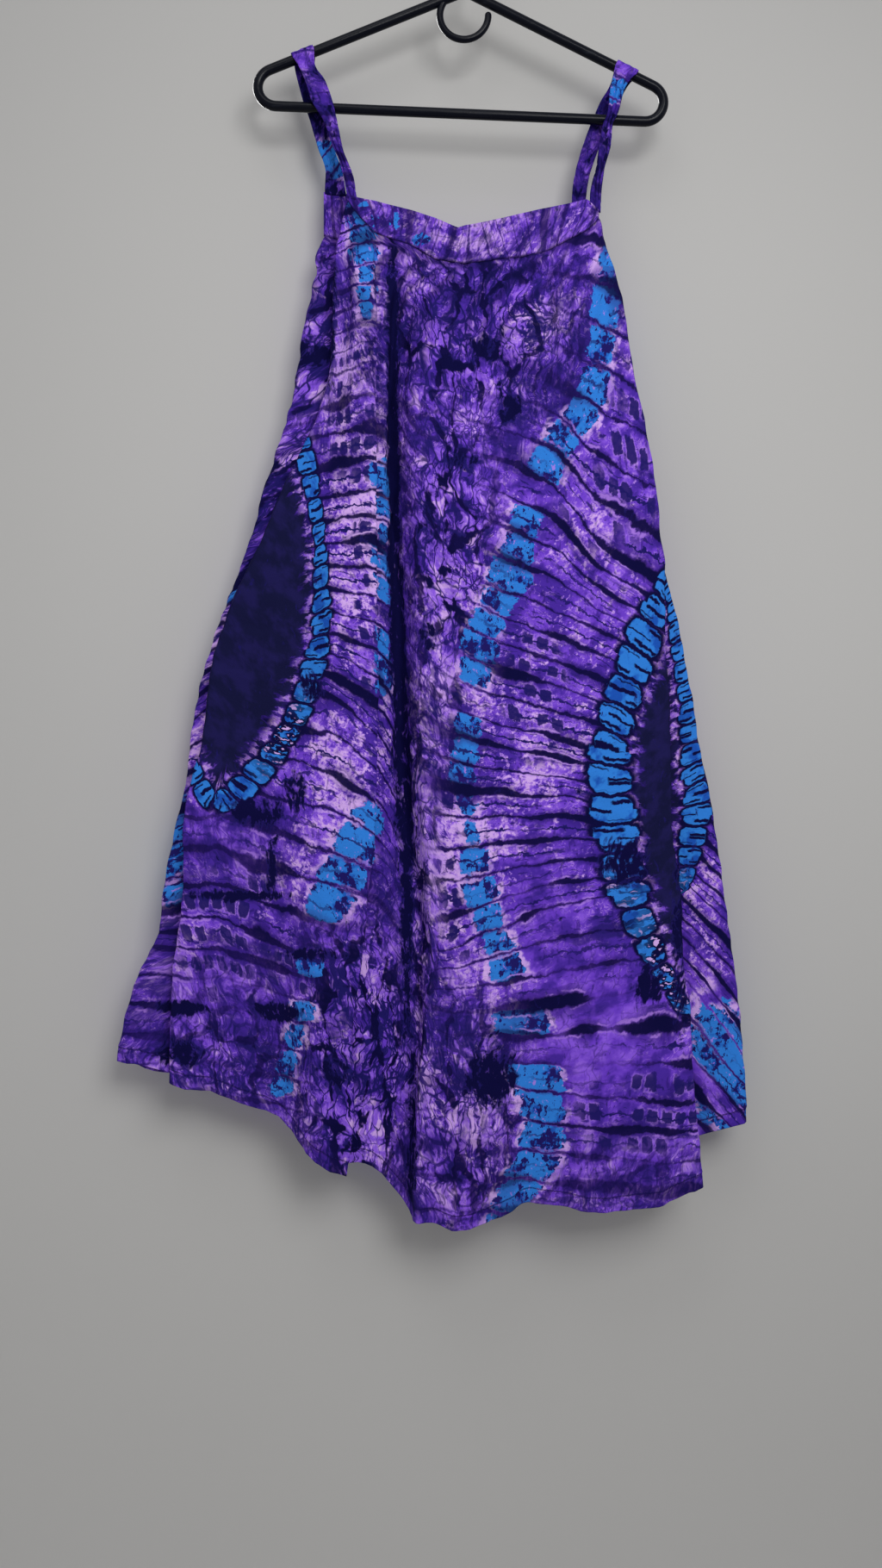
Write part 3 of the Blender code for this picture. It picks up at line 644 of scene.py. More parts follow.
class Recipe:
    """A finish that is put together from shader nodes, and painted in layers."""

    def __init__(self, name, ground):
        self.finish = bpy.data.materials.new(name)
        self.finish.use_nodes = True
        self.nodes = self.finish.node_tree.nodes
        self.shader = self.nodes["Principled BSDF"]
        self.colour = ground

    def put(self, socket, value):
        """Links a tone or an output to an input socket, or sets a plain value."""
        value = value.socket if isinstance(value, Tone) else value
        if isinstance(value, bpy.types.NodeSocket):
            self.finish.node_tree.links.new(value, socket)
        else:
            socket.default_value = value

    def add(self, kind, values, output=0, **settings):
        """A node with its settings; values go to its inputs, by order or name."""
        node = self.nodes.new("ShaderNode" + kind)
        for setting, choice in settings.items():
            setattr(node, setting, choice)
        named = values if isinstance(values, dict) else dict(enumerate(values))
        for key, value in named.items():
            self.put(node.inputs[key], value)
        return node.outputs[output]

    def tone(self, kind, values, output=0, **settings):
        return Tone(self, self.add(kind, values, output, **settings))

    def read(self, attribute):
        return self.tone("Attribute", (), "Fac", attribute_name=attribute)

    def vector(self, operation, *parts):
        return self.add("VectorMath", parts, operation=operation)

    def stretched(self, where, x, y, z=1.0):
        return self.vector("MULTIPLY", where, (x, y, z))

    def spot(self, *parts):
        return self.add("CombineXYZ", parts)

    def wobbled(self, where, cloth, scale, reach):
        """The place where, moved by smooth noise that is read on the cloth."""
        drift = self.add("TexNoise", {"Vector": cloth, "Scale": scale, "Detail": 1.0}, 1)
        return self.vector("MULTIPLY_ADD", drift, (reach, reach, 0.0), where)

    def grain(self, where, scale, detail=2.0, rough=0.55, warp=0.0):
        return self.tone("TexNoise", {"Vector": where, "Scale": scale, "Detail": detail,
                                      "Roughness": rough, "Distortion": warp})

    def streaks(self, x, y, z, detail=2.0, rough=0.55):
        """Noise whose grain is as fine along x, y and z as those are scaled."""
        return self.grain(self.spot(x, y, z), 1.0, detail, rough)

    def chance(self, *parts):
        """A random number from 0 to 1 that stays the same within a cell."""
        return self.tone("TexWhiteNoise", {"Vector": self.spot(*parts)})

    def cracks(self, where, scale):
        """Distance from the nearest edge of a net of irregular cells."""
        return self.tone("TexVoronoi", {"Vector": where, "Scale": scale},
                         feature="DISTANCE_TO_EDGE")

    def blend(self, amount, below, above):
        below, above = ((*tint, 1.0) if isinstance(tint, tuple) else tint
                        for tint in (below, above))
        return self.add("Mix", {0: amount, 6: below, 7: above}, 2, data_type="RGBA")

    def paint(self, amount, tint):
        """Lays tint over the colours so far, where amount is more than 0."""
        self.colour = self.blend(amount, self.colour, tint)

    def finish_with(self, relief, relief_depth, rough, specular):
        """Sets the shader: the painted colour, a bump from relief in metres, and
        gloss."""
        bump = self.add("Bump", {"Height": relief, "Distance": relief_depth, "Strength": 1.0})
        for name, value in (("Base Color", self.colour), ("Normal", bump),
                            ("Roughness", rough), ("Specular IOR Level", specular)):
            self.put(self.shader.inputs[name], value)
        return self.finish


INK = (0.0040, 0.0034, 0.045)
INK_SOFT = (0.014, 0.010, 0.125)
PURPLE_DARK = (0.028, 0.011, 0.175)
PURPLE_DEEP = (0.068, 0.024, 0.350)
PURPLE = (0.155, 0.050, 0.600)
PURPLE_LIGHT = (0.275, 0.108, 0.800)
LILAC = (0.430, 0.215, 0.810)
LILAC_PALE = (0.700, 0.440, 0.910)
BLUE = (0.030, 0.210, 0.700)
BLUE_DARK = (0.012, 0.085, 0.450)
LEAF_INK = (0.0075, 0.0080, 0.044)
LEAF_SOFT = (0.0150, 0.0120, 0.088)


SQUARE_STEP = 0.0145       # metres between the dark squares of a row
COTTON_RELIEF = 0.0006     # metres
COTTON_ROUGHNESS = 0.92
COTTON_GLOSS = 0.05


def weave_relief(recipe, cut):
    """Height of the plain weave and its thicker threads, 0 to 1."""
    threads = [recipe.tone("TexWave", {"Vector": cut, "Scale": 340.0, "Distortion": 0.6,
                                       "Detail": 1.0, "Detail Scale": 2.0},
                           1, bands_direction=way) for way in "XY"]
    slub = recipe.grain(recipe.stretched(cut, 1.0, 6.0), 160.0)
    return (threads[0] + threads[1]) * 0.18 + slub * 0.35


def dyed_cotton_with_painted_shade():
    """The skirt's cotton, dyed, and with shade painted in, by the chart that the cloth carries."""
    dye = Recipe("dyed_cotton_with_painted_shade", PURPLE_DEEP)
    cut = dye.add("Attribute", (), "Vector", attribute_name="cut")
    place = dye.tone("SeparateXYZ", (cut,))     # across the cut cloth, in metres
    crinkle, pink, plain, deep, worn = map(dye.read, ("crinkle", "pink", "plain", "deep", "worn"))
    leaf, ring_gap = dye.read("leaf"), dye.read("ring")

    broad = dye.grain(cut, 11.0, 3.0)
    mid = dye.grain(cut, 40.0, 3.0, 0.6)
    wander = dye.grain(cut, 26.0, 1.0) - 0.5
    shiver = dye.grain(cut, 130.0, 2.0, 0.6) - 0.5
    coarse = dye.grain(cut, 85.0, 3.0, 0.62, 0.4)
    fine = dye.grain(cut, 240.0, 3.0, 0.65)
    ragged = coarse - 0.5 + (fine - 0.5) * 0.5

    turns = dye.read("turns") + wander * 0.42 + shiver * 0.20
    gap = turns.from_whole()
    row = turns.floor()
    flat_cloth = 1.0 - crinkle * 0.85

    # ground: mottled purple, pale grain, curly pale lines; darker where deep, which is partly
    # painted shade in the pleat's recess
    tone = broad * 0.45 + mid * 0.55 - deep * 0.045 + plain * 0.03
    dye.paint(tone.rise(0.44, 0.52), PURPLE)
    dye.paint(tone.rise(0.51, 0.60) * 0.85, PURPLE_LIGHT)
    speck = fine * 0.45 + coarse * 0.55
    start = 0.605 - pink * 0.13 + plain * 0.10 - gap * 0.08 - (broad - 0.5) * 0.55
    dye.paint(speck.rise(start, start + 0.04) * 0.85, LILAC)
    dye.paint(speck.rise(start + 0.05, start + 0.09) * 0.9, LILAC_PALE)
    curl = (dye.grain(cut, 105.0, 2.0, 0.5, 1.2) - 0.5).size()
    dye.paint(curl.rise(0.022, 0.006) * mid.rise(0.46, 0.54) * (0.75 - plain * 0.6), LILAC)
    dye.paint(speck.rise(0.42, 0.36) * (0.8 - plain * 0.5), PURPLE_DARK)

    # short dark strokes along the turns and ticks across them
    smudge = dye.streaks(place * 13.0, turns * 1.15, 7.0, 3.0, 0.6) - pink * 0.07 + deep * 0.05
    stroke = dye.streaks(place * 50.0, turns * 7.5, 0.0)
    tick = dye.streaks(place * 150.0, turns * 1.7, 3.0)
    dye.paint(smudge.rise(0.555, 0.68) * flat_cloth * (0.8 - plain * 0.4), INK_SOFT)
    dye.paint(stroke.rise(0.60, 0.66) * flat_cloth * (0.85 - plain * 0.6), INK_SOFT)
    dye.paint(tick.rise(0.60, 0.66) * flat_cloth * (0.6 - plain * 0.4), PURPLE_DARK)

    # rows of dark rounded squares between the turns
    beat = place / SQUARE_STEP + dye.chance(row, 3.0, 0.0) * 5.0 + wander * 0.6
    beat_whole = beat.floor()
    side_gap = ((beat - beat_whole - 0.5).size() + ragged * 0.34) / 0.37
    row_gap = ((turns - row - 0.5).size() + ragged * 0.28) / 0.23
    square = side_gap ** 5.0 + row_gap ** 5.0
    there = dye.chance(beat_whole, row, 7.0).rise(0.36, 0.44) * dye.read("dots").rise(0.1, 0.5)
    dye.paint(square.rise(4.5, 1.8) * there * mid.rise(0.42, 0.52) * 0.45, LILAC)
    dye.paint(square.rise(1.5, 0.5) * there * 0.95, INK_SOFT)

    # crushed cloth: fans of pale and dark slivers about dark nodes
    bent = dye.wobbled(dye.wobbled(cut, cut, 16.0, 0.034), cut, 75.0, 0.010)
    tall = dye.stretched(bent, 1.0, 0.62)
    distance = dye.add("TexVoronoi", {"Vector": tall, "Scale": 19.0})
    spread = dye.vector("SUBTRACT", tall, distance.node.outputs["Position"])
    from_node = Tone(dye, distance)
    fan = dye.vector("MULTIPLY_ADD", dye.vector("NORMALIZE", spread), (2.7, 2.7, 2.7),
                     dye.spot(shiver * 0.8, ragged * 0.5, from_node * 2.3 + mid * 1.8))
    rays = dye.grain(fan, 1.3, 2.0, 0.6)
    fan_edge = dye.cracks(fan, 1.0)
    slivers = dye.grain(dye.stretched(bent, 300.0, 62.0), 1.0, 2.0, 0.5)
    crowd = (mid + broad - 1.0) * 0.5 + pink * 0.05 - deep * 0.04
    petal = dye.tone("TexVoronoi", {"Vector": fan, "Scale": 1.0}, 1) * 0.75
    petal = petal + crowd * 2.6 + (slivers - 0.5) * 1.3 + 0.12
    dye.paint(petal.rise(0.40, 0.56) * crinkle * 0.75, PURPLE_LIGHT)
    core = (fan_edge + ragged * 0.05).rise(0.05, 0.22)
    dye.paint(core * petal.rise(0.52, 0.68) * crinkle * 0.70, LILAC)
    dye.paint(core * petal.rise(0.70, 0.86) * crinkle * 0.85, LILAC_PALE)
    line = fan_edge + ragged * 0.05 + (from_node - 0.36) * 0.24 + (mid - 0.5) * 0.45
    dye.paint(line.rise(0.14, 0.03) * crinkle * 0.95, INK_SOFT)
    sliver_start = 0.385 - crowd * 0.4
    dye.paint(slivers.rise(sliver_start + 0.03, sliver_start) * crinkle * 0.8, INK_SOFT)
    dye.paint(from_node.rise(0.12, 0.05) * crinkle * mid.rise(0.46, 0.54), INK)
    hollow = dye.grain(dye.stretched(cut, 1.3, 0.7), 26.0, 3.0, 0.6) + ragged * 0.10
    hollow = hollow + deep * 0.04 - pink * 0.03
    dye.paint(hollow.rise(0.56, 0.74) * crinkle * 0.75, INK_SOFT)

    # dark veins, thin ones on the plain cloth too
    vein_gap = dye.cracks(dye.stretched(bent, 1.0, 0.5), 90.0)
    thin = vein_gap + ragged * 0.05 + (broad - 0.5) * 0.25
    dye.paint(thin.rise(0.075, 0.02) * crinkle * 0.95, INK_SOFT)
    dye.paint(thin.rise(0.08, 0.0) * plain * mid.rise(0.46, 0.56) * 0.6, PURPLE_DARK)
    thick = dye.cracks(dye.stretched(bent, 1.0, 0.42), 30.0) + ragged * 0.03 + (mid - 0.5) * 0.45
    dye.paint(thick.rise(0.055, 0.015) * crinkle, INK)

    # blue cells in the columns, cut up by the turns
    blue = dye.read("blue") + wander * 1.3 + ragged * 1.7
    blue = blue + (dye.chance(row, 9.0, 2.0) - 0.5) * 1.1 - gap.rise(0.14, 0.04) * 0.5
    open_blue = gap.rise(0.03, 0.07) * dye.chance(row, 1.0, 5.0).rise(0.02, 0.05)
    halo = blue.rise(-0.75, -0.25) * broad.rise(0.42, 0.54) * mid.rise(0.42, 0.52)
    dye.paint(halo * open_blue * 0.85, LILAC_PALE)
    blue_here = blue.rise(0.0, 0.12) * open_blue
    dye.paint(blue_here, dye.blend(mid.rise(0.50, 0.60), BLUE, BLUE_DARK))
    fleck = dye.grain(dye.stretched(cut, 1.5, 1.0), 105.0, 3.0, 0.7)
    fleck_start = 0.555 - (mid - 0.5) * 0.9
    dye.paint(blue_here * fleck.rise(fleck_start, fleck_start + 0.03), INK_SOFT)
    dye.paint(blue_here * fleck.rise(0.38, 0.34) * 0.8, LILAC)

    # dark bound turns, some with a pale edge, and thinner ones between them
    strength = dye.streaks(place * 9.0, turns.nearest_whole() * 4.7, 0.0)
    weight = strength.rise(0.34, 0.66)
    half = 0.028 + weight ** 3.0 * 0.20
    edge = gap + ragged * 0.12
    lined = flat_cloth * (1.0 - plain * strength.rise(0.56, 0.44) * 0.80)
    dye.paint((edge / half).rise(3.4, 1.2) * lined * 0.6, PURPLE_DARK)
    pale_edge = (edge - half - 0.065).size().rise(0.055, 0.015) * (mid + broad).rise(1.03, 1.15)
    dye.paint(pale_edge * lined * 0.75, dye.blend(pink, LILAC, LILAC_PALE))
    dye.paint((edge / half).rise(1.35, 0.75) * lined * (0.80 + 0.20 * weight), INK)
    between = (turns + 0.48 + shiver * 0.25).from_whole() + ragged * 0.04
    some = dye.streaks(place * 13.0, row * 3.1, 5.0, 1.0)
    dye.paint(between.rise(0.062, 0.030) * lined * some.rise(0.40, 0.52), INK_SOFT)

    # the leaves: dark middle with a smoky rim of streaks
    along = dye.read("ring_along") + wander * 0.4 + shiver * 0.2 + ring_gap.least(2.0) * 0.10
    smoke = dye.streaks(along * 3.0, leaf * 0.5, 9.0, 3.0, 0.6)
    depth = leaf * 0.85 + (smoke - 0.5) * 5.6 + wander * 1.5 + ragged * 0.9
    in_leaf = leaf.rise(-0.15, 0.15)
    dye.paint(depth.rise(0.0, 0.7) * in_leaf, PURPLE_DARK)
    rim_light = leaf.rise(1.3, 0.1) * in_leaf * (smoke + ragged * 0.4).rise(0.50, 0.42)
    dye.paint(rim_light * 0.8, dye.blend(fine.rise(0.50, 0.56), LILAC, LILAC_PALE))
    leaf_tone = dye.blend(mid.rise(0.42, 0.62) * 0.8, LEAF_INK, LEAF_SOFT)
    dye.paint(depth.rise(0.35, 1.05) * in_leaf, leaf_tone)

    # the ring of blue cells, notched from both sides, worn dark in places
    cell_number = along.nearest_whole()
    cell_gap = along.from_whole()
    ring = (ring_gap + ragged * 0.42) * (0.78 + 0.42 * dye.chance(cell_number, 4.0, 1.0))
    cell = ring.size() ** 4.0 + ((0.5 - cell_gap) / 0.43) ** 4.0
    dye.paint(cell.rise(3.6, 1.5), INK)
    inside = cell.rise(1.10, 0.80)
    stripe = dye.streaks(along * 4.5, ring * 0.9, 4.0, 2.0, 0.6)
    finger = along * 3.0 + 0.5 + (dye.chance(cell_number, 2.0, 3.0) - 0.5) * 0.5
    finger_number = finger.nearest_whole()
    finger_side = (finger_number * 0.5).from_whole() * 4.0 - 1.0
    reach = ring * finger_side + dye.chance(finger_number, 2.0, 8.0) * 0.9 - 0.65
    notch = (finger.from_whole() + ragged * 0.14).rise(0.26, 0.15) * reach.rise(0.12, -0.02)
    notch = notch * cell_gap.rise(0.12, 0.18) * (1.0 - worn)
    dye.paint(inside * (1.0 - worn * stripe.rise(0.56, 0.51)),
              dye.blend(mid.rise(0.50, 0.62), BLUE, BLUE_DARK))
    dye.paint(inside * worn * stripe.rise(0.42, 0.37), LILAC_PALE)
    dye.paint(notch * inside, INK)
    dye.paint(inside * fleck.rise(0.67, 0.70) * 0.9, INK_SOFT)

    # stains, and the shade painted in folds and gaps, with ragged rims that follow the veins
    stain = dye.read("stain") + ragged * 1.5 + wander * 0.8 + (0.12 - vein_gap) * 0.8
    stain = stain + (rays - 0.5) * 1.2 + (slivers - 0.5) * 1.4
    dye.paint(stain.rise(0.34, 0.66) * 0.7, INK_SOFT)
    dye.paint(stain.rise(0.62, 0.86), INK)

    # the hem's row of stitches, and painted shade at the band seams and in the gathers' troughs
    stitch = (dye.read("hem") - STITCH_HEIGHT).size().rise(0.9, 0.5)
    dash = (place / STITCH_LENGTH).from_whole().rise(0.10, 0.16)
    dye.paint(stitch * (0.35 + 0.65 * dash) * 0.7, INK_SOFT)
    # painted shade: the seam value darkens the cloth under the bands and down the gathers
    dye.paint(dye.read("seam") * 0.85, INK)

    relief = (weave_relief(dye, cut) + coarse * 1.2 + slivers * crinkle * 1.5
              + stitch * (dash * 2.0 - 1.2))
    return dye.finish_with(relief, COTTON_RELIEF, COTTON_ROUGHNESS, COTTON_GLOSS)


# ---------------------------------------------------------------- front skirt
# The front panel is a thin cotton shell, gathered under the band.  One pleat
# hangs left of the middle with a roll beside it; the hem is turned up twice.

FRONT_SEED = 0.0
GATHER_STEP = 25.0         # spacing of the gathers under a band
GATHER_REACH = 110.0       # how far down they fade out
# Pressed creases: across and height of both ends, depth, half width.
FRONT_CREASES = (
    (73, -720, 74, -925, 0.9, 5.0),
    (131, -1075, 133, -1290, 1.0, 5.0),
    (186, -1135, 188, -1292, 0.8, 4.5),
    (80, -1150, 127, -1264, -0.9, 5.0),
    (-160, -980, -175, -1180, 0.8, 6.0),
    (-230, -1040, -255, -1180, 0.8, 6.0),
    (-60, -1120, -20, -1240, -0.9, 5.0),
    (100, -480, 150, -560, 0.8, 6.0),
    (60, -600, 160, -680, 0.7, 6.0),
    (-185, -640, -200, -820, 1.6, 6.0),
    (-205, -700, -228, -850, -1.4, 6.0),
    (-172, -700, -196, -790, 1.2, 5.0),
    (-12, -370, -6, -640, 1.6, 4.0),
    (14, -372, 20, -560, -1.3, 5.0),
    (46, -365, 52, -600, 1.4, 4.5),
    (-38, -700, -30, -960, -1.1, 4.0),
)


def crease_relief(across, height, creases):
    """Soft troughs, or ridges where depth is below 0, along straight creases."""
    relief = np.zeros(across.shape)
    for x0, z0, x1, z1, depth, half in creases:
        dx, dz = x1 - x0, z1 - z0
        t = np.clip(((across - x0) * dx + (height - z0) * dz) / (dx * dx + dz * dz), 0, 1)
        gap = np.hypot(across - x0 - t * dx, height - z0 - t * dz)
        taper = smooth_step(t, -0.02, 0.2) * smooth_step(t, 1.02, 0.8)
        relief -= depth * np.exp(-(gap / half) ** 2) * taper
    return relief


def gathers(points, seed):
    """Folds from -1 to 1 that start under the band and die away below it."""
    across, down = cloth_lengths(points)
    sway = rumple(across, down, 60.0, 90.0, seed + 1.7)
    fold = np.sin(2 * math.pi * (across / GATHER_STEP + 1.4 * sway))
    middle = 0.5 * across[-1:, :]
    gathered = smooth_step(np.abs(across - middle), middle * 0.98, middle * 0.55)
    return fold * gathered * np.exp(-down / GATHER_REACH) * smooth_step(down, 0, 9)


def cloth_relief(points, chart, creases, seed):
    """How far the cloth stands off its smooth form."""
    across, down = cloth_lengths(points)
    from_hem = down[:, -1:] - down
    crinkle = chart["crinkle"]
    relief = crease_relief(points[:, :, 0], points[:, :, 2], creases) + 3.0 * gathers(points, seed)
    for height, wide, tall, shift in ((1.6, 27.0, 60.0, 0.0), (0.8, 12.0, 17.0, 7.3),
                                      (0.7 + 2.0 * crinkle, 9.5, 42.0, 3.1)):
        relief += height * rumple(across, down, wide, tall, seed + shift)
    relief += 0.35 * np.cos(2 * math.pi * chart["turns"]) * (1 - crinkle)

    # the hem: two more layers, a stitched furrow above them, small puckers
    hem = smooth_step(from_hem, HEM + 0.6, HEM - 0.6)
    furrow = np.exp(-((from_hem - HEM) / 1.3) ** 2)
    pucker = rumple(across, down, 7.0, 60.0, seed + 5.5) * smooth_step(from_hem, 30.0, 8.0)
    relief += 0.45 * hem - 0.55 * furrow + 0.9 * pucker
    from_side = np.minimum(across, across[-1:, :] - across)
    return relief * smooth_step(from_side, 0.0, 14.0) * smooth_step(down, 0.0, 6.0)


def hem_sway(points, seed):
    """How far the puckered hem rides up and down, fading above it."""
    across, down = cloth_lengths(points)
    sway = 3.2 * rumple(across, 0.0 * down, 34.0, 1.0, seed + 9.1)
    sway += 1.5 * rumple(across, 0.0 * down, 11.0, 1.0, seed + 4.4)
    return sway * smooth_step(down[:, -1:] - down, 75.0, 0.0)


def hem_height_and_painted_shade(points, seed):
    """Height above the hem, and painted shade in the seam under the band and
    down the troughs of its gathers."""
    down = cloth_lengths(points)[1]
    shade = smooth_step(down, 7.0, 1.5)
    # painted shade in the troughs of the gathers
    painted_trough_shade = smooth_step(gathers(points, seed), -0.10, -0.75) * 0.75
    return {"hem": down[:, -1:] - down, "seam": np.maximum(shade, painted_trough_shade)}


def hung_panel(points, chart, creases, seed):
    """A skirt panel's points with their relief, and with a swaying hem."""
    points = raised(points, cloth_relief(points, chart, creases, seed))
    points[:, :, 2] += hem_sway(points, seed)
    return points


def cloth_piece(name, points, wall, finish, chart, centre=0):
    """A sheet whose grid of points is columns by rows, with a wall.  It carries
    the chart's values, and its place on the flat cloth: from column centre."""
    columns, rows = len(points) - 1, len(points[0]) - 1
    bm = bmesh.new()
    bmesh.ops.create_grid(bm, x_segments=columns, y_segments=rows, size=1.0)
    places = np.array([vertex.co[:2] for vertex in bm.verts])
    i = np.rint((places[:, 0] + 1) / 2 * columns).astype(int)
    j = np.rint((1 - places[:, 1]) / 2 * rows).astype(int)
    for vertex, place in zip(bm.verts, points[i, j] * MM):
        vertex.co = place
    mesh = bpy.data.meshes.new(name)
    bm.to_mesh(mesh)
    bm.free()
    mesh.shade_smooth()

    across, down = cloth_lengths(points)
    cut = np.stack([across - across[centre], down, np.zeros(down.shape)], axis=2) * MM
    layer = mesh.attributes.new("cut", "FLOAT_VECTOR", "POINT")
    layer.data.foreach_set("vector", cut[i, j].astype(np.float32).ravel())
    for kind, values in chart.items():
        layer = mesh.attributes.new(kind, "FLOAT", "POINT")
        layer.data.foreach_set("value", values[i, j].astype(np.float32))

    mesh.materials.append(finish)
    made = bpy.data.objects.new(name, mesh)
    scene.collection.objects.link(made)
    solid = made.modifiers.new("wall", "SOLIDIFY")
    solid.thickness = wall * MM
    solid.offset = 0.0
    return made


cotton = dyed_cotton_with_painted_shade()
ring_count = len(FRONT_FOLDS) + len(BACK_FOLDS)
left_seam = ring_position("left_seam") - ring_count
right_seam = ring_position("right_seam")

front = skirt_sections(left_seam, right_seam)
sew_to_band(front, FRONT_BAND)
front_chart = dye_and_shade_chart(front[:, :, 0], front[:, :, 2], front[:, :, 2],
                        ((RIGHT_LEAF, -1.0, RIGHT_CELL), (LEFT_LEAF, 1.0, LEFT_CELL)))
front_chart.update(hem_height_and_painted_shade(front, FRONT_SEED))
front = hung_panel(front, front_chart, FRONT_CREASES, FRONT_SEED)
middle_column = int(np.argmin(np.abs(front[:, -1, 0])))
front_skirt = cloth_piece("front_skirt_cloth", front, CLOTH, cotton, front_chart, middle_column)
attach(front_skirt, "root")
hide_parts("front_skirt")


# ----------------------------------------------------------------- back skirt
# The back panel is cut like the front.  The cloth was dyed folded in two, so it
# carries the mirror image of the front's dye out from each side seam.

BACK_SEED = 40.0
# How far the left part of the mirror image is moved, from low to high.
LEFT_SHIFT_HEIGHTS = (-1070.0, -1000.0, -860.0, -720.0)
LEFT_SHIFT = (25.0, 60.0, 85.0, 95.0)
RUN_ON_HEIGHTS = (-1080.0, -1020.0)    # where the run-on dye gives way to the mirror
# The leaf's ring beside the right seam, as the other leaves' are given.
FLAP_LEAF = ((158, -680, 6), (139, -737, 8), (126, -799, 9), (117, -853, 10), (109, -906, 13),
             (114, -933, 13), (121, -960, 10), (128, -984, 6))
FLAP_CELL = 21.0
# Patches beside the side seams, as the others are given.
SIDE_PATCHES = {
    "blue": ((247, -1160, 30, 58, 1.9), (-294, -955, 18, 66, 1.9)),
    "pink": ((240, -1040, 60, 130, 1.4), (-250, -740, 60, 170, 1.2)),
    "crinkle": ((-128, -400, 22, 110, 1.0),),
    # the deep patch by the left armhole is partly painted shade in the gap behind the front panel's
    # edge
    "deep": ((-128, -380, 24, 100, 1.4), (-320, -1100, 60, 70, 1.2)),
}
BACK_CREASES = (
    (120, -600, 150, -900, 0.9, 6.0),
    (20, -700, 10, -1020, 0.9, 6.0),
    (-90, -560, -130, -880, -0.8, 6.0),
    (-180, -900, -260, -1160, 0.9, 6.0),
    (150, -1000, 60, -1210, -0.8, 6.0),
)

back = skirt_sections(right_seam, left_seam + ring_count)
sew_to_band(back, BACK_BAND)


def front_edge(name, height):
    """Place across of an edge of the front panel at each height."""
    rows = np.array(dict(FRONT_FOLDS)[name][::-1], float)
    return read_curve(rows[:, 0], rows[:, 1], height)


# Below the leaf on the left the dye runs on over the fold without a mirror.
from_right = cloth_lengths(back)[0]
from_left = from_right[-1:, :] - from_right
back_height = back[:, :, 2]
mirrored_right = front_edge("right_edge", back_height) - from_right
way = np.maximum(np.interp(back_height, RUN_ON_HEIGHTS, (-1.0, 1.0)),
                 smooth_step(from_left, 75.0, 170.0) * 2.0 - 1.0)
mirrored_left = (front_edge("left_edge", back_height) + from_left * way
                 + np.interp(back_height, LEFT_SHIFT_HEIGHTS, LEFT_SHIFT))
share = smooth_step(from_right / from_right[-1:, :], 0.42, 0.62)
back_across = mirrored_right * (1 - share) + mirrored_left * share
# On the right the turns fall away from the seam.
fall = np.minimum(from_right, 150.0) * smooth_step(from_right, 300.0, 150.0)
back_chart = dye_and_shade_chart(back_across, back_height, back_height + fall,
                       ((FLAP_LEAF, -1.0, FLAP_CELL), (LEFT_LEAF, 1.0, LEFT_CELL)))
back_chart.update(hem_height_and_painted_shade(back, BACK_SEED))
for kind, patches in SIDE_PATCHES.items():
    for patch in patches:
        near = (1.0 - patch_gap(patch, back[:, :, 0], back_height)) * patch[4]
        back_chart[kind] = np.maximum(back_chart[kind], near)
back = hung_panel(back, back_chart, BACK_CREASES, BACK_SEED)
back_skirt = cloth_piece("back_skirt_cloth", back, CLOTH, cotton, back_chart)
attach(back_skirt, "root")
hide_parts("back_skirt")


# ---------------------------------------------------------------------- bands
# Two straight-cut bands of doubled cotton close the top: the front one dips to
# a small lapped notch at the centre.  Skirt and straps are sewn to their edges.

BAND_WALL = 1.2
BAND_CELL = 2.6
BAND_ROWS = 15             # rows of points from a band's upper to its lower edge
SEAM_OVERLAP = 0.35        # how far each band lies outside the skirt and straps
LAP_PLACE = -4.0           # where the front band's two halves lap at the notch
# Blue spots on the front band: across, height, half width, half height.
BAND_SPOTS = ((-92, -319, 5, 7), (-76, -325, 4.5, 7), (-46, -341, 6, 5), (-104, -306, 6, 3))


def band_points(band, overlap):
    """Points of a band, cut to the straight lines between its table's rows."""
    start, end = band[0][0], band[-1][0]
    across = np.linspace(start, end, round((end - start) / BAND_CELL) + 1)
    upper, lower, depth = (read_table(band, column, across)[:, None] for column in (1, 2, 3))
    height = upper + (lower - upper) * np.linspace(0.0, 1.0, BAND_ROWS)
    wide, deep, _ = np.broadcast_arrays(across[:, None], depth + overlap, height)
    return np.stack([wide, deep, height], axis=2)


def band_chart(points, pink, spots):
    """Dye of a band, with painted shade along its lower seam: its turns run up
    and down, fanned out from the centre.
    """
    across, height = points[:, :, 0], points[:, :, 2]
    lean = 0.35 * np.sin(across / 23.0) * (height + 335.0)
    blue = np.full(across.shape, NOWHERE)
    for spot in spots:
        blue = np.maximum(blue, (1.3 - patch_gap(spot, across, height)) * 0.7)
    down = cloth_lengths(points)[1]
    # the seam value is painted shade along the band's lower seam
    return even_chart(points, turns=(across + lean) / 15.0, blue=blue, stain=0.05, pink=pink,
                      crinkle=0.45, seam=smooth_step(down[:, -1:] - down, 1.8, 0.4))


def band_relief(points, seed):
    """Puckers that rise from the lower seam, and the rumple of the layers."""
    across, down = cloth_lengths(points)
    from_seam = down[:, -1:] - down
    pucker = rumple(across, down, 6.5, 60.0, seed) * np.exp(-from_seam / 14.0)
    roll = smooth_step(down, 0.0, 1.6) - 1.0
    return 0.9 * pucker + 0.6 * rumple(across, down, 17.0, 26.0, seed + 2.0) + 0.7 * roll


strip = band_points(FRONT_BAND, -SEAM_OVERLAP)
lap = np.exp(-((strip[:, :, 0] - LAP_PLACE) / 1.5) ** 2)
strip = raised(strip, band_relief(strip, 11.0) - 0.7 * lap)
front_band = cloth_piece("front_band_cloth", strip, BAND_WALL, cotton,
                         band_chart(strip, 0.62, BAND_SPOTS))

